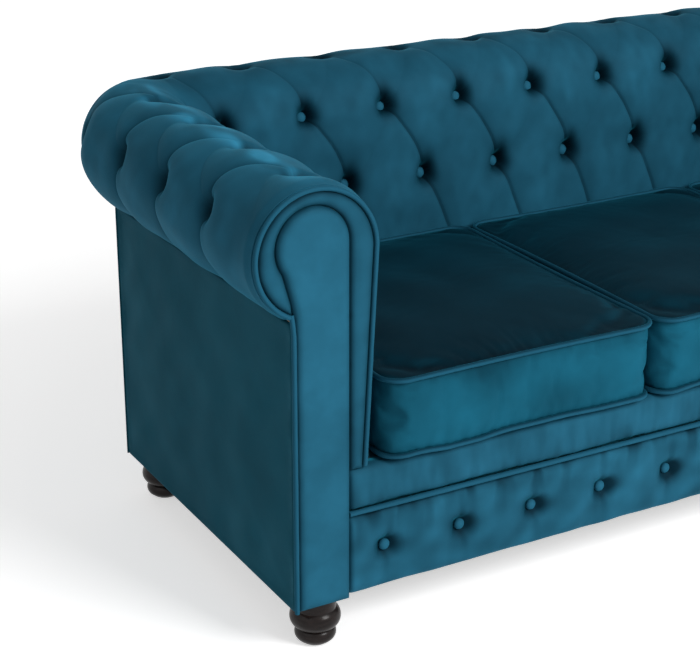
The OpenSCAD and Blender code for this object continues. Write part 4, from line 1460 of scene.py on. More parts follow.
@dataclass
class Plate:
    """A covered board: an outline with rounded edges, a slight dome and a flat back.

    Attributes:
        outline: corner points, either way round.
        thickness: from the front plane to the flat back.
        edge: radius of the rounded edge.
        dome: how much lower the edge's top lies than the middle.
        spacing: distance between its points.
        slack: height of the uneven waves in the cloth.
        seed: seed of the waves.
        swell: rise of the middle over the front plane.
        groove: painted shade along its edge.
        tone: painted light added everywhere; below 0, painted shade.
    """

    outline: Array
    thickness: float
    edge: float
    dome: float
    spacing: float
    slack: float = 0.0006
    seed: int = 5
    swell: float = 0.0
    groove: float = 0.6
    tone: float = 0.0

    def sides(self) -> zip:
        """Returns: both ends of each side of the outline."""
        return zip(self.outline, np.roll(self.outline, -1, axis=0))

    def distance(self, points: Array) -> Array:
        """Returns: the distances of points from the outline."""
        best = np.full(len(points), np.inf)
        for p, q in self.sides():
            way = q - p
            t = np.clip(((points - p) @ way) / max(way @ way, 1e-12), 0, 1)
            best = np.minimum(best, np.linalg.norm(points - p - t[:, None] * way, axis=1))
        return best

    def inside(self, points: Array) -> Array:
        """Returns: which points lie inside the outline."""
        hits = np.zeros(len(points), bool)
        x, y = points[:, 0], points[:, 1]
        for p, q in self.sides():
            if p[1] == q[1]:
                continue
            cross = (p[1] > y) != (q[1] > y)
            hits ^= cross & (x < (q[0] - p[0]) * (y - p[1]) / (q[1] - p[1]) + p[0])
        return hits

    def middle_points(self) -> Array:
        """Returns: points in staggered lines, clear of the rounded edge."""
        low, high = self.outline.min(0), self.outline.max(0)
        line_gap = self.spacing * 0.87
        grid = np.meshgrid(np.arange(low[0], high[0], self.spacing), np.arange(low[1], high[1], line_gap))
        grid = np.stack(grid, -1)
        grid[1::2, :, 0] += self.spacing / 2
        grid = grid.reshape(-1, 2)
        grid = grid[self.inside(grid)]
        return grid[self.distance(grid) > self.edge + self.spacing * 0.4]

    def edge_rings(self, rim: Array) -> list[Array]:
        """Returns: rings of points over the rounded edge, each at a share of its radius from the rim."""
        tangent = np.roll(rim, -1, axis=0) - np.roll(rim, 1, axis=0)
        normal = np.stack([-tangent[:, 1], tangent[:, 0]], -1)
        normal /= np.linalg.norm(normal, axis=1)[:, None]
        x, y = self.outline.T
        if (x * np.roll(y, -1)).sum() < (y * np.roll(x, -1)).sum():
            normal = -normal
        rings = []
        for share in (0.08, 0.25, 0.5, 1.0):
            ring = rim + normal * self.edge * share
            rings.append(ring[self.inside(ring) & (self.distance(ring) > self.edge * share * 0.93)])
        return rings

    def sink(self, flat: Array, deep: Array) -> Array:
        """Gives the sinks of the cloth under the front plane.

        Args:
            flat: points of the plate.
            deep: their distances from the outline.

        Returns:
            How far each lies under the plane.
        """
        t = np.clip(deep / self.edge, 0, 1)
        sink = self.edge * (1 - np.sqrt(np.clip(1 - (1 - t) ** 2, 0, 1)))
        reach = max(float(deep.max()), 1e-6)
        past_edge = smooth_step(deep, 0, self.edge * 2)
        sink += self.dome * (1 - np.clip(deep / reach, 0, 1) ** 0.6) * past_edge
        sink += self.dome * (1 - past_edge)
        sink += self.slack * (1 + Lumps(self.seed, 0.06).at(flat)) * smooth_step(deep, 0, self.edge * 3)
        sink -= self.swell * smooth_step(deep, 0, reach * 0.8)
        return np.minimum(sink, self.thickness * 0.7)

    def build(self) -> tuple[Array, list[Face], Array]:
        """Builds the closed plate.

        Returns:
            Points as two places and a sink under the front plane, the faces, and the painted light and shade
            at the front's points.
        """
        rim = resample(self.outline, self.spacing, True)
        points = np.concatenate([rim, *self.edge_rings(rim), self.middle_points()])
        loop = [list(range(len(rim)))]
        flat, _, faces, _, _, _ = delaunay_2d_cdt([Vector(p) for p in points], [], loop, 1, 1e-7)
        flat = np.array([tuple(p) for p in flat])
        deep = self.distance(flat)
        # Painted shade along the edge and in random patches near it, added to the painted shade over the
        # whole plate
        patches = np.clip(Lumps(self.seed + 30, 0.028, 20).at(flat), 0, 1)
        nap = self.tone - self.groove * np.exp(-deep / 0.0042) - 0.10 * patches * np.exp(-deep / 0.02)
        front = np.column_stack([flat, self.sink(flat, deep)])
        back = np.column_stack([flat, np.full(len(flat), self.thickness)])
        return np.concatenate([front, back]), thicken(faces, len(flat)), nap


@dataclass
class Facing(Assembly):
    """Front of an arm: the plain post with its round head, the scroll band and the piping.

    Attributes:
        head: x and z of the middle of the round head.
        head_r: radius of the head.
        neck_angle: turn where the head runs into the post, in degrees.
        radius: radius of the scroll, out to its piping's far side.
        scroll_angle: turn where the scroll ends, in degrees.
        foot_w: width at the platform, out to the piping's far side.
        cord_d: room for a piping.
        cord_y: place of the scroll piping's front.
        fit: gap that keeps neighbours apart.
    """

    head: tuple[float, float] = (0.03724, 0.64504)
    head_r: float = 0.058
    neck_angle: float = 215.0
    radius: float = 0.0995
    scroll_angle: float = 242.0
    foot_w: float = 0.1255
    cord_d: float = 0.008
    cord_y: float = 0.005
    fit: float = 0.0002

    def keyhole(self, grow: float) -> Array:
        """Returns: the outline of the post and head, grown by a distance."""
        edge = self.cord_d - grow
        turns = np.radians(np.linspace(0, self.neck_angle, 60))
        head = on_circle(self.head, self.head_r + grow, turns)
        neck = np.array((edge - POST_W * 0.06, self.head[1] - 1.38 * self.head_r))
        shoulder = np.array((edge - 0.0015, self.head[1] - 1.85 * self.head_r))
        post = np.array([(edge, LEG_H), (POST_W + grow, LEG_H)])
        return np.concatenate([head, self.blend(head[-1], neck, shoulder), post])

    @staticmethod
    def blend(a: Array, b: Array, c: Array) -> Array:
        """Returns: a smooth curve from a past b to c, without a."""
        t = np.linspace(0, 1, 9)[1:, None]
        return (1 - t) ** 2 * a + 2 * t * (1 - t) * (2 * b - (a + c) / 2) + t**2 * c

    def band(self, inset: float) -> Array:
        """Returns: the outline of the scroll round the post and head, anticlockwise."""
        turns = np.linspace(0, math.radians(self.scroll_angle), 80)
        outer = on_circle((ARM_AXIS_X, AXIS_Z), self.radius - inset, turns)
        turns = np.radians(np.linspace(self.neck_angle, 0, 60))
        inner = on_circle(self.head, self.head_r + self.fit, turns)
        neck = np.array([[0.0046, 0.5435], [0.0030, 0.5650]])
        foot_z = DECK_Z + 0.0003
        foot = np.array([[POST_W + self.fit, foot_z], [self.foot_w - inset, foot_z]])
        return np.concatenate([outer, neck, inner, foot])

    def build(self) -> None:
        """Builds both facings."""
        # Both plates get painted shade along their edges; the band also painted shade over the whole of it
        panel = Plate(self.keyhole(-self.fit), FACING_T, edge=0.0105, dome=0.0022, spacing=0.0040)
        outline = self.band(self.cord_d + 0.0003)
        band = Plate(outline, 0.0098, 0.0075, 0.0022, 0.0033, slack=0.0009, groove=0.75, tone=-0.14)
        for node, plate, y in (("facing_panel", panel, -0.001), ("facing_band", band, 0.003)):
            points, faces, nap = plate.build()
            place = np.column_stack([points[:, 0], y + points[:, 2], points[:, 1]])
            faces = outward(place, faces)
            for side in Side:
                name = f"{side.word}_{node}"
                piece = make_piece(name + "_cover", place, faces, side, nap=nap)
                piece.data.set_sharp_from_angle(angle=SHARP)
                self.dress(piece, Slot.VELVET, name, fill=0.9)
        self.cords()

    def cords(self) -> None:
        """Builds the pipings of both facings and of the front outer corners."""
        r = self.radius - self.cord_d / 2
        start = math.pi + math.acos(ARM_AXIS_X / r) + 0.055
        y = self.cord_y + self.cord_d / 2
        scroll = np.insert(on_circle((ARM_AXIS_X, AXIS_Z), r, np.linspace(start, 0, 120)), 1, y, axis=1)
        foot = np.array([[self.foot_w - self.cord_d / 2, y, DECK_Z + 0.004]])
        path = resample(np.concatenate([scroll, foot]), 0.005)
        corner = np.array([
            [0.004, 0.004, LEG_H + 0.0005],
            [0.004, 0.004, 0.520],
            [0.0035, 0.0055, 0.534],
            [0.0028, 0.009, 0.549],
        ])
        post = resample(corner, 0.006)
        for side in Side:
            for word, line, radius in (("facing", path, 0.0039), ("corner", post, 0.0038)):
                node = f"{side.word}_{word}_piping"
                self.cord(node, to_frame(line, side), radius, seed=len(node))


@dataclass
class OuterPanels(Assembly):
    """Plain covered panels of the two sides and the back.

    Attributes:
        thickness: thickness of a panel.
        top_z: top of the panels.
        front_y: front edge of the side panels.
        rear_gap: gap from their rear edge to the rear panel's outer face.
    """

    thickness: float = 0.006
    top_z: float = 0.5348
    front_y: float = 0.0085
    rear_gap: float = 0.0063

    def build(self) -> None:
        """Builds the three panels."""
        outline = rectangle((self.front_y, LEG_H), (BASE_D - self.rear_gap, self.top_z))
        shape = Plate(outline, self.thickness, 0.004, 0.001, 0.010, slack=0.0012, swell=0.006, groove=0.3)
        points, faces, _ = shape.build()
        place = np.column_stack([points[:, 2], points[:, 0], points[:, 1]])
        for side in Side:
            self.panel(f"{side.word}_outer_panel", place, faces, side)
        outline = rectangle((0, LEG_H), (BASE_W, self.top_z))
        shape = Plate(outline, self.thickness, 0.004, 0.001, 0.013, slack=0.0014, seed=9, swell=0.005)
        points, faces, _ = shape.build()
        place = np.column_stack([points[:, 0], BASE_D - points[:, 2], points[:, 1]])
        self.panel("rear_outer_panel", place, faces, Side.LEFT)

    def panel(self, name: str, place: Array, faces: list[Face], side: Side) -> None:
        """Makes and dresses a panel.

        Args:
            name: its node.
            place: its points.
            faces: its faces.
            side: end of the sofa.
        """
        piece = make_piece(name + "_cover", place, outward(place, faces), side)
        piece.data.set_sharp_from_angle(angle=SHARP)
        self.dress(piece, Slot.PANEL, name, fill=0.95)


@dataclass
class FrontRail(Assembly):
    """Buttoned rail under the seat, with its piping and the plain border above it.

    Attributes:
        height: height of the rail.
        depth: depth of the pits.
        count: number of buttons.
        crest: place of the rail's front.
        edge: radius of its long edges.
        lobe: rise of the cloth between two buttons.
        pit_w: reach of a pit along the rail.
        pit_h: reach of a pit up and down.
        pleat: height of the pleat above and below a button.
        gather: height of the gathers along the upper edge.
        slack: height of the slow waves in the cloth.
        pucker: height of the border's puckers.
        rear: place of the flat backs.
        border_z: foot of the border.
        border_y: place of its front.
        border_edge: radius of its long edges.
        piping: place and height of the piping.
        end_r: radius of the ends against the posts.
        gap: gap from the posts.
    """

    height: float = 0.136
    depth: float = 0.018
    count: int = 12
    crest: float = 0.006
    edge: float = 0.020
    lobe: float = 0.0035
    pit_w: float = 0.0175
    pit_h: float = 0.0165
    pleat: float = 0.0048
    gather: float = 0.0026
    slack: float = 0.0010
    pucker: float = 0.0006
    rear: float = 0.032
    border_z: float = 0.2206
    border_y: float = 0.0052
    border_edge: float = 0.012
    piping: tuple[float, float] = (0.009, 0.2163)
    end_r: float = 0.010
    gap: float = 0.0003

    def band(
        self, low: float, high: float, crest: float, radius: float, nx: int, nz: int
    ) -> tuple[Array, Array, Array]:
        """Gives a grid over a rounded band.

        Args:
            low: lower edge.
            high: upper edge.
            crest: place of its front.
            radius: radius of its long edges.
            nx: columns.
            nz: lines.

        Returns:
            The x, y and z of its points.
        """
        x0, x1 = POST_W + self.gap, BASE_W - POST_W - self.gap
        x = np.linspace(x0, x1, nx + 1)[None, :]
        run = high - low + (math.pi - 2) * radius
        s = np.linspace(0, run, nz + 1)[:, None]
        quarter = radius * math.pi / 2
        flat = np.clip(s - quarter, 0, high - low - 2 * radius)
        upper, lower = s < quarter, run - s < quarter
        z = np.where(upper, high - radius * (1 - np.cos(s / radius)), high - radius - flat)
        z = np.where(lower, low + radius * (1 - np.cos((run - s) / radius)), z)
        y = np.where(upper, crest + radius * (1 - np.sin(s / radius)), crest)
        y = np.where(lower, crest + radius * (1 - np.sin((run - s) / radius)), y)
        ends = np.clip(np.minimum(x - x0, x1 - x) / self.end_r, 0, 1)
        y = y + self.end_r * (1 - np.sqrt(np.clip(1 - (1 - ends) ** 2, 0, 1)))
        return np.broadcast_to(x, y.shape), y, np.broadcast_to(z, y.shape)

    def close(self, name: str, grid: Array, nap: Array) -> None:
        """Closes a band with a flat back and dresses it.

        Args:
            name: its node.
            grid: its face.
            nap: its painted light and shade, with random tone.
        """
        n, m = grid.shape[:2]
        back = grid[:: n - 1, :].copy()
        back[..., 1] = self.rear
        index = np.arange(n * m).reshape(n, m)
        faces: list[Face] = [tuple(f) for f in quads(index).tolist()]
        top = list(range(n * m, n * m + m))
        foot = list(range(n * m + m, n * m + 2 * m))
        for j in range(m - 1):
            faces.append((top[j], foot[j], foot[j + 1], top[j + 1]))
            faces.append((index[0, j + 1], index[0, j], top[j], top[j + 1]))
            faces.append((index[-1, j], index[-1, j + 1], foot[j + 1], foot[j]))
        faces.append((*index[:, 0].tolist(), foot[0], top[0]))
        faces.append((*index[::-1, -1].tolist(), top[-1], foot[-1]))
        points = np.concatenate([grid.reshape(-1, 3), back.reshape(-1, 3)])
        piece = make_piece(name + "_cover", points, outward(points, faces), Side.LEFT, (n, m), nap)
        self.dress(piece, Slot.VELVET, name, fill=0.8)

    def build(self) -> None:
        """Builds the rail, its buttons, the seat border and the piping between them."""
        self.rail()
        self.border()
        y, z = self.piping
        inset = POST_W + 0.0005
        line = resample(np.array([[inset, y, z], [BASE_W - inset, y, z]]), 0.007)
        self.cord("front_rail_piping", to_frame(line), 0.0040, uneven=0.0006, seed=7)

    def rail(self) -> None:
        """Builds the buttoned rail and its buttons."""
        top = LEG_H + self.height
        middle = LEG_H + self.height / 2
        x, y, z = self.band(LEG_H, top, self.crest, self.edge, 720, 62)
        pitch = (BASE_W - 2 * POST_W) / self.count
        turn = (x - POST_W) / pitch
        away = np.abs(turn - np.floor(turn) - 0.5) * pitch
        edge = smooth_step(np.abs(z - middle), self.height / 2, self.height / 2 - self.edge)
        swell = self.lobe * (1 - np.cos(math.pi * np.clip(away / (pitch / 2), 0, 1))) / 2
        sink = (self.lobe - swell) * edge
        nap = np.zeros_like(x)
        places = POST_W + pitch * (np.arange(self.count) + 0.5)
        rng = np.random.default_rng(12)
        for at in places:
            dx, dz = x - at, z - middle
            close = np.abs(dx) < pitch / 2
            far = np.hypot(dx / self.pit_w, dz / self.pit_h)
            rays = 1 + 0.14 * np.cos(4 * np.arctan2(dz, dx) + rng.uniform(-0.4, 0.4)) * np.exp(-far / 2)
            pit = 1 / (1 + (far * rays) ** 3.4)
            lean = rng.uniform(-0.12, 0.12)
            pleat = self.pleat * bell(dx - lean * dz, 0.0035 + 0.10 * np.abs(dz))
            pleat = pleat * np.exp(-np.abs(dz) / 0.045) * smooth_step(np.abs(dz), 0.004, 0.016)
            pressed = np.maximum(sink, self.depth * pit) + pleat * (1 - pit) * edge
            sink = np.where(close, pressed, sink)
            # Painted shadow in each pit, and painted shade along its pleats and beside it
            pit_side_shade = bell(dx - 0.012, 0.026) * bell(dz - 0.002, 0.012)
            nap = np.where(close, nap - 0.8 * pit - 70 * pleat - 0.35 * pit_side_shade, nap)
        gather = Lumps(31, 0.022, 20).at(x, z * 0.35)
        near_top = np.exp(-(top - z) / 0.024)
        near_foot = np.exp(-(z - LEG_H) / 0.030) * smooth_step(z, LEG_H, LEG_H + 0.012)
        sink = sink + self.gather * np.clip(gather + 0.2, 0, 2) * (near_top + 0.35 * near_foot)
        # Painted shade in the gathers and a painted shadow under the piping; then a little darker overall,
        # with random tone
        nap = nap - 0.6 * np.clip(gather + 0.1, 0, 1) * near_top
        nap = nap - 0.45 * np.exp(-(top - z) / 0.005)
        nap = nap - 0.07 + 0.14 * Lumps(33, 0.035, 20).at(x, z)
        sink = sink + 0.0008 * (1 + Lumps(17, 0.05).at(x, z))
        grid = np.stack([x, np.minimum(y + sink, self.rear - 0.003), z], -1)
        grid[0, :, 1] = grid[-1, :, 1] = self.crest + self.edge
        self.close("front_rail_pad", grid, np.clip(nap, -0.8, 0.5))
        points = np.array([(at, self.crest + self.depth - 0.0025, middle) for at in places])
        ways = np.tile((0.0, -1.0, 0.0), (self.count, 1))
        self.buttons("front_rail_buttons", to_frame(points), ways, radius=0.009, dome=0.6, seed=6)

    def border(self) -> None:
        """Builds the plain border, puckered along its lower seam."""
        x, y, z = self.band(self.border_z, DECK_Z, self.border_y, self.border_edge, 560, 26)
        up = z - self.border_z
        soft = self.pucker * (1 + Lumps(41, 0.014, 20).at(x * 1.3, z * 0.3))
        soft = soft + self.slack * (1 + Lumps(43, 0.09).at(x, z))
        marks = np.clip(Lumps(45, 0.018, 20).at(x, z * 0.4), 0, 1)
        # Painted shade over the whole border, a painted shadow along its lower seam and painted shade in the
        # puckers above it, with random tone
        nap = -0.16 - 0.5 * np.exp(-up / 0.005) - 0.25 * marks * np.exp(-up / 0.03)
        nap = nap + 0.10 * Lumps(47, 0.05, 20).at(x, z)
        self.close("seat_border", np.stack([x, y + soft, z], -1), nap)


@dataclass
class SeatCushions(Assembly):
    """Three loose boxed cushions: a crowned cover swollen by a cloth simulation, and two pipings each.

    Attributes:
        width: width of a cushion over its pipings.
        depth: depth of it.
        height: from the lower seam to the upper one.
        crown: rise of the top's middle over the seam.
        corner: radius of the corners.
        pull: how far the sides pull in between the corners.
        bulge: how far the sides bulge between the seams.
        cord_d: diameter of the pipings.
        seam_inset: distance of the seam inside the width.
        seam_lift: height of the lower seam.
        base_z: height of the cushions' undersides.
        middle_y: middle of the cushions.
        pitch: distance between two cushions' middles.
        step: distance between the cover's points.
        cap: how far a point may swell.
        lump: height of the slow waves on the top.
        ripple: height of the waves on the sides.
        pucker: depth of the puckers at the upper seam.
        seam_wave: height of the waves of the lower seam.
        frames: frames of the simulation.
    """

    width: float = 0.500
    depth: float = 0.580
    height: float = 0.124
    crown: float = 0.016
    corner: float = 0.032
    pull: float = 0.004
    bulge: float = 0.00225
    cord_d: float = 0.0078
    seam_inset: float = 0.0073
    seam_lift: float = 0.006
    base_z: float = 0.2883
    middle_y: float = -0.116
    pitch: float = 0.503
    step: float = 0.0062
    cap: float = 0.009
    lump: float = 0.0022
    ripple: float = 0.0012
    pucker: float = 0.0008
    seam_wave: float = 0.0024
    frames: int = 20

    def __post_init__(self) -> None:
        """Adds the seats' velvet and cord, darker copies with strong painted shade on faces that look up, and
        works out the upper seam's height.
        """
        velvet = Velvet("VelvetSeat", (0.008, 0.104, 0.166), sheen=0.18, up_shade=0.115)
        cord = Velvet("VelvetSeatCord", (0.014, 0.100, 0.165), up_shade=0.35, crush=0.05)
        self.finish = {**self.finish, Slot.VELVET: velvet.build(), Slot.CORD: cord.build()}
        self.top = self.seam_lift + self.height
        self.half = np.array([self.width / 2, self.depth / 2])

    def loop(self, grow: float, count: int) -> Array:
        """Gives a seam's loop round the cushion.

        Args:
            grow: distance outside the seam.
            count: number of points.

        Returns:
            Points round the middle of the cushion.
        """
        inner = self.half - self.seam_inset - self.corner
        lines = []
        for k, signs in enumerate(((1, 1), (-1, 1), (-1, -1), (1, -1))):
            turns = np.radians(90 * k + np.linspace(0, 90, 13))
            arc = inner * signs + (self.corner + grow) * np.stack([np.cos(turns), np.sin(turns)], -1)
            end, on = math.radians(90 * (k + 1)), math.radians(90 * (k + 2))
            out = np.array([math.cos(end), math.sin(end)])
            along = np.array([math.cos(on), math.sin(on)])
            t = np.linspace(0, 1, 26)[1:-1, None]
            side = arc[-1] + along * (inner[k % 2] * 2) * t - out * self.pull * np.sin(math.pi * t)
            lines += [arc, side]
        points = resample(np.concatenate(lines), 0.001, True)
        pick = np.linspace(0, len(points), count, endpoint=False)
        closed = np.concatenate([points, points[:1]])
        return np.stack([np.interp(pick, np.arange(len(closed)), closed[:, k]) for k in range(2)], -1)

    def surface(self) -> tuple[Array, list[Face], Array]:
        """Returns: points, faces and pin weights of the plain cushion, round its own middle."""
        count = int(round(2 * (self.width + self.depth) / self.step / 4)) * 4
        seam = self.loop(0.0, count)
        rings = int(self.width / 2 / self.step)
        rows = max(int(round(self.height / self.step)), 6)
        levels = []
        for share in np.arange(1, rings) / rings:
            levels.append((share, self.crown * (0.96 - 0.96 * share**3.2) + self.top, 0.0))
        levels.append((1.0, self.top, 1.0))
        for k in range(1, rows):
            levels.append((1.0, self.top - self.height * k / rows, 0.0))
        levels.append((1.0, self.seam_lift, 1.0))
        for k in range(1, rings):
            share = 1 - k / rings
            levels.append((share, self.seam_lift * smooth_step(share, 0.93, 1.0).item(), 0.5))
        points, pins = [], []
        for share, z, pin in levels:
            grow = 0.0
            if share == 1.0 and pin < 1:
                grow = self.bulge * math.sin(math.pi * ((z - self.seam_lift) / self.height))
            ring = self.loop(grow, count) if grow else seam
            points.append(np.column_stack([ring * share, np.full(count, z)]))
            pins += [pin] * count
        total = len(levels) * count
        index = np.arange(total).reshape(-1, count)
        around = quads(np.column_stack([index, index[:, 0]]))[:, [0, 3, 2, 1]]
        faces: list[Face] = [tuple(f) for f in around.tolist()]
        points.append(np.array([[0, 0, levels[0][1]], [0, 0, levels[-1][1]]]))
        pins += [0.0, 0.5]
        for j in range(count):
            k = (j + 1) % count
            faces.append((total, j, k))
            faces.append((total + 1, total - count + k, total - count + j))
        return np.concatenate(points), faces, np.array(pins)

    def fill_cover(self, points: Array, faces: list[Face], pins: Array) -> Array:
        """Fills the cover by a cloth simulation.

        Args:
            points: its points.
            faces: its faces.
            pins: pin weights.

        Returns:
            The filled cover's points.
        """
        mesh = bpy.data.meshes.new("cover")
        mesh.from_pydata(points.tolist(), [], faces)
        piece = add_object("cover", mesh)
        group = piece.vertex_groups.new(name="seams")
        for weight in (0.5, 1.0):
            group.add([int(i) for i in np.flatnonzero(pins == weight)], weight, "REPLACE")
        cloth = piece.modifiers.new("Cloth", "CLOTH")
        setting = cloth.settings
        setting.quality = 5
        setting.mass = 0.35
        setting.tension_stiffness = setting.compression_stiffness = 18
        setting.shear_stiffness = 6
        setting.bending_stiffness = 0.35
        setting.use_pressure = True
        setting.uniform_pressure_force = 4.0
        setting.shrink_min = -0.022
        setting.vertex_group_mass = "seams"
        setting.pin_stiffness = 1.0
        setting.effector_weights.gravity = 0
        cloth.collision_settings.use_collision = False
        cloth.point_cache.frame_start, cloth.point_cache.frame_end = 1, self.frames
        for frame in range(1, self.frames + 1):
            bpy.context.scene.frame_set(frame)
        graph = bpy.context.evaluated_depsgraph_get()
        shape = bpy.data.meshes.new_from_object(piece.evaluated_get(graph), depsgraph=graph)
        moved = np.empty(len(shape.vertices) * 3)
        shape.vertices.foreach_get("co", moved)
        bpy.context.scene.frame_set(1)
        bpy.data.objects.remove(piece)
        if not np.isfinite(moved).all():
            LOG.warning("the simulation gave no shape, so the plain one stays")
            return points
        shift = moved.reshape(-1, 3) - points
        length = np.linalg.norm(shift, axis=1)
        scale = self.cap * np.tanh(length / self.cap) / np.maximum(length, 1e-9)
        return points + shift * scale[:, None]

    def sag(self, points: Array, k: int) -> Array:
        """Returns: how far the lower seam of cushion k is lifted at points seen from above."""
        return self.seam_wave * np.clip(1 + Lumps(50 + k, 0.11, 20).at(points), 0, 2)

    def crease(self, filled: Array, pins: Array, k: int) -> tuple[Array, Array]:
        """Gives one cushion its own unevenness.

        Args:
            filled: points of the filled cover.
            pins: pin weights.
            k: number of the cushion.

        Returns:
            Its points, and its painted shade with random tone.
        """
        place = filled.copy()
        if k % 2:
            place[:, 0] *= -1
        upper = smooth_step(place[:, 2], self.top - 0.004, self.top + 0.006)
        inner = 1 - smooth_step((np.abs(place[:, :2]) / self.half).max(1), 0.78, 1.0)
        place[:, 2] += upper * self.lump * Lumps(60 + k, 0.13).at(place[:, :2]) * (0.3 + 0.7 * inner)
        under_top = 1 - smooth_step(place[:, 2], self.top - 0.03, self.top - 0.01)
        side = smooth_step(place[:, 2], 0.012, 0.03) * under_top
        ripple = self.ripple * Lumps(70 + k, 0.06).at(place) * side
        place[:, :2] *= 1 + (ripple / self.half.mean())[:, None]
        pucker = np.exp(-np.abs(place[:, 2] - self.top) / 0.012) * (pins != 1)
        place[:, 2] -= self.pucker * pucker * (1 + Lumps(80 + k, 0.016, 20).at(place[:, :2])) * upper
        sag = self.sag(place[:, :2], k)
        place[:, 2] += sag * (1 - smooth_step(place[:, 2], 0.0, 0.09))
        place[:, 2] = np.clip(place[:, 2], 0.0, None)
        seam_gap = np.abs(place[:, 2] - self.seam_lift - sag)
        # Painted shade along both seams and in the puckers, with random tone
        nap = -0.45 * np.exp(-np.abs(place[:, 2] - self.top) / 0.004) - 0.45 * np.exp(-seam_gap / 0.005)
        nap += 0.16 * Lumps(90 + k, 0.07, 24).at(place)
        nap -= 0.25 * pucker * np.clip(Lumps(95 + k, 0.02, 20).at(place), 0, 1)
        limit = self.half - 0.0012
        place[:, :2] = np.clip(place[:, :2], -limit, limit)
        return place, nap

    def build(self) -> None:
        """Builds the three cushions."""
        plain, faces, pins = self.surface()
        filled = self.fill_cover(plain, faces, pins)
        path = self.loop(0.0038, 420)
        for k, body in enumerate(("left_cushion", "middle_cushion", "right_cushion")):
            middle = ((k - 1) * self.pitch, self.middle_y, self.base_z)
            place, nap = self.crease(filled, pins, k)
            place = place + middle + CORNER
            piece = make_piece(body + "_filled", place, outward(place, faces), nap=nap)
            self.dress(piece, Slot.VELVET, f"{body}_cover", f"{body}_core", body=body, fill=0.75)
            upper = np.full(len(path), self.top)
            lower = self.seam_lift + self.sag(path, k)
            for seam, level in (("top", upper), ("lower", lower)):
                line = np.column_stack([path, level]) + middle
                self.cord(f"{body}_{seam}_piping", line, self.cord_d / 2, seed=k, body=body, closed=True)


@dataclass
class Underside(Assembly):
    """Platform cloth over the springs and the dust cover beneath them.

    Attributes:
        notch_x: inner and outer edge of the notches round the feet's plates.
        notch_ys: front and rear edge of the front notches and of the rear ones.
        sheet_t: thickness of the dust cover.
    """

    notch_x: tuple[float, float] = (0.027, 0.089)
    notch_ys: tuple[tuple[float, float], ...] = ((0.022, 0.084), (0.570, 0.632))
    sheet_t: float = 0.0009

    @staticmethod
    def corners(node: str) -> tuple[Array, Array]:
        """Returns: a node's lowest and highest corner, from the left front corner of the sofa."""
        low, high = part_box(node)
        return np.array(low) + CORNER, np.array(high) + CORNER

    def platform(self) -> None:
        """Builds the stuffed platform in its node's box."""
        low, high = self.corners("seat_platform")
        shape = Plate(rectangle(low, high), high[2] - low[2], 0.005, 0.0015, 0.016, slack=0.0009, seed=15)
        points, faces, _ = shape.build()
        place = np.column_stack([points[:, 0], points[:, 1], high[2] - points[:, 2]])
        piece = make_piece("seat_platform_stuffed", place, outward(place, faces))
        self.dress(piece, Slot.PLATFORM, "seat_platform", fill=0.7)

    def dust_cover(self) -> None:
        """Builds the dust cover as a thin stretched cloth with notches round the plates."""
        low, high = self.corners("dust_cover")
        left, right = self.notch_x
        (_, front_high), (rear_low, rear_high) = self.notch_ys
        between = np.linspace(right, BASE_W - right, 110)
        xs = np.concatenate([[low[0], left], between, [BASE_W - left, high[0]]])
        ys = np.concatenate([[low[1]], np.linspace(front_high, rear_low, 34), [rear_high, high[1]]])
        x, y = np.meshgrid(xs, ys)
        sag = 0.0005 * np.sin(math.pi * (x - low[0]) / (high[0] - low[0]))
        tops = np.stack([x, y, high[2] - 0.0002 - sag], -1).reshape(-1, 3)
        middle_x, middle_y = (x[:-1, :-1] + x[1:, 1:]) / 2, (y[:-1, :-1] + y[1:, 1:]) / 2
        near = np.minimum(middle_x, BASE_W - middle_x)
        kept = np.ones(near.shape, bool)
        for start, stop in self.notch_ys:
            kept &= ~((near > left) & (near < right) & (middle_y > start) & (middle_y < stop))
        cells = quads(np.arange(x.size).reshape(x.shape))[kept.ravel()]
        faces = thicken([tuple(f) for f in cells.tolist()], x.size)
        place = np.concatenate([tops, tops - (0, 0, self.sheet_t)])
        piece = make_piece("dust_cover_cloth", place, outward(place, faces))
        piece.data.set_sharp_from_angle(angle=SHARP)
        self.dress(piece, Slot.LINING, "dust_cover")

    def build(self) -> None:
        """Builds both cloths."""
        self.platform()
        self.dust_cover()


@dataclass
class Woodwork(Assembly):
    """The nodes that keep their own shape: timber, linings, steel and turned feet."""

    def build(self, frame: dict) -> None:
        """Gives every shown node its slot's material.

        Args:
            frame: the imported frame.
        """
        slots = {part["node"]: part["material_slot"] for part in frame["record"]["subparts"]}
        for name, piece in frame["nodes"].items():
            if piece.hide_render:
                continue
            piece.data.materials.clear()
            piece.data.materials.append(self.finish[Slot(slots[name])])
            LOG.info("%s keeps its shape", name)


@dataclass(frozen=True)
class Lamp:
    """A soft square lamp: its name and place, the side of its square, its watts and what it faces."""

    name: str
    place: Triple
    size: float
    power: float
    target: Triple = (0, 0, 0.4)

    def build(self) -> None:
        """Adds the lamp."""
        light = bpy.data.lights.new(self.name, "AREA")
        light.size = self.size
        light.energy = self.power
        lamp = add_object(self.name, light)
        lamp.location = self.place
        lamp.rotation_euler = (Vector(self.target) - Vector(self.place)).to_track_quat("-Z", "Y").to_euler()


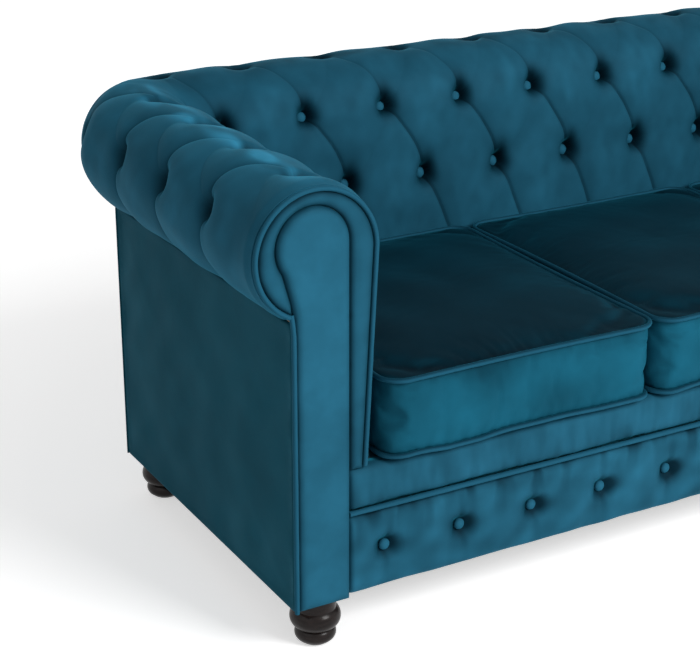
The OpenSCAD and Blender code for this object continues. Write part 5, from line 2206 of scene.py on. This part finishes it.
@dataclass
class Studio:
    """Camera, lamps, floor and white surroundings.

    Attributes:
        eye: place of the camera.
        down: how far it looks down, in degrees.
        turn: how far it's turned, in degrees.
        lens: its lens.
        sensor: width of its sensor.
        lamps: the lamps.
        surround: strength of the white surroundings on the object.
        floor_half: half of the floor's side.
        glow_at: distances from the middle where the floor's glow starts and stops to grow.
        glow: the glow at them.
    """

    eye: Triple = (-1.9537, -2.4346, 1.4312)
    down: float = 21.40
    turn: float = -29.28
    lens: float = 91.24
    sensor: float = 36
    lamps: tuple[Lamp, ...] = (
        Lamp("Key", (1.0, -3.6, 3.1), size=1.9, power=150),
        Lamp("Fill", (-3.6, -1.2, 2.2), size=2.6, power=10),
    )
    surround: float = 0.28
    floor_half: float = 9
    glow_at: tuple[float, float] = (1.1, 2.6)
    glow: tuple[float, float] = (0.53, 0.72)

    def camera(self) -> None:
        """Places the camera at the photograph's view."""
        cam = bpy.data.cameras.new("Camera")
        cam.lens = self.lens
        cam.sensor_width = self.sensor
        place = add_object("Camera", cam)
        place.location = self.eye
        place.rotation_euler = (math.radians(90 - self.down), 0, math.radians(self.turn))
        bpy.context.scene.camera = place
        bpy.context.scene.view_settings.view_transform = "Standard"

    def surroundings(self) -> None:
        """White to the camera, softer to the object."""
        world = bpy.data.worlds.new("World")
        bpy.context.scene.world = world
        world.use_nodes = True
        nodes = Nodes(world.node_tree)
        strength = nodes.span(nodes.seen(), 0, 1, self.surround, 1)
        nodes.fill(world.node_tree.nodes["Background"], {"Color": (1, 1, 1, 1), "Strength": strength})

    def floor(self) -> None:
        """Adds the pale floor, which glows a little more away from the sofa."""
        mesh = bpy.data.meshes.new("floor")
        far = self.floor_half
        mesh.from_pydata([(-far, -far, 0), (far, -far, 0), (far, far, 0), (-far, far, 0)], [], [(0, 1, 2, 3)])
        mat, nodes, shader = blank_material("Floor")
        place = nodes.place()
        away = nodes.add("ShaderNodeVectorMath", {0: place}, operation="LENGTH").outputs["Value"]
        glow = nodes.math("MULTIPLY", nodes.seen(), nodes.span(away, *self.glow_at, *self.glow))
        looks = {
            "Base Color": nodes.ramp(nodes.noise(place, 1.5), (0.95,) * 3, (0.985,) * 3),
            "Roughness": 0.9,
            "Emission Color": (1, 1, 1, 1),
            "Emission Strength": glow,
        }
        nodes.fill(shader, looks)
        mesh.materials.append(mat)
        add_object("floor", mesh)

    def build(self) -> None:
        """Builds the studio."""
        self.camera()
        self.surroundings()
        self.floor()
        for lamp in self.lamps:
            lamp.build()


def main() -> None:
    """Builds the sofa's looks round its frame."""
    logging.basicConfig(level=logging.INFO, format="%(name)s: %(message)s")
    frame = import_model()
    finish = finishes()
    Studio().build()
    for kind in (Upholstery, Facing, OuterPanels, FrontRail, SeatCushions, Underside):
        kind(finish).build()
    Woodwork(finish).build(frame)
    bpy.context.view_layer.update()


if __name__ == "__main__":
    main()
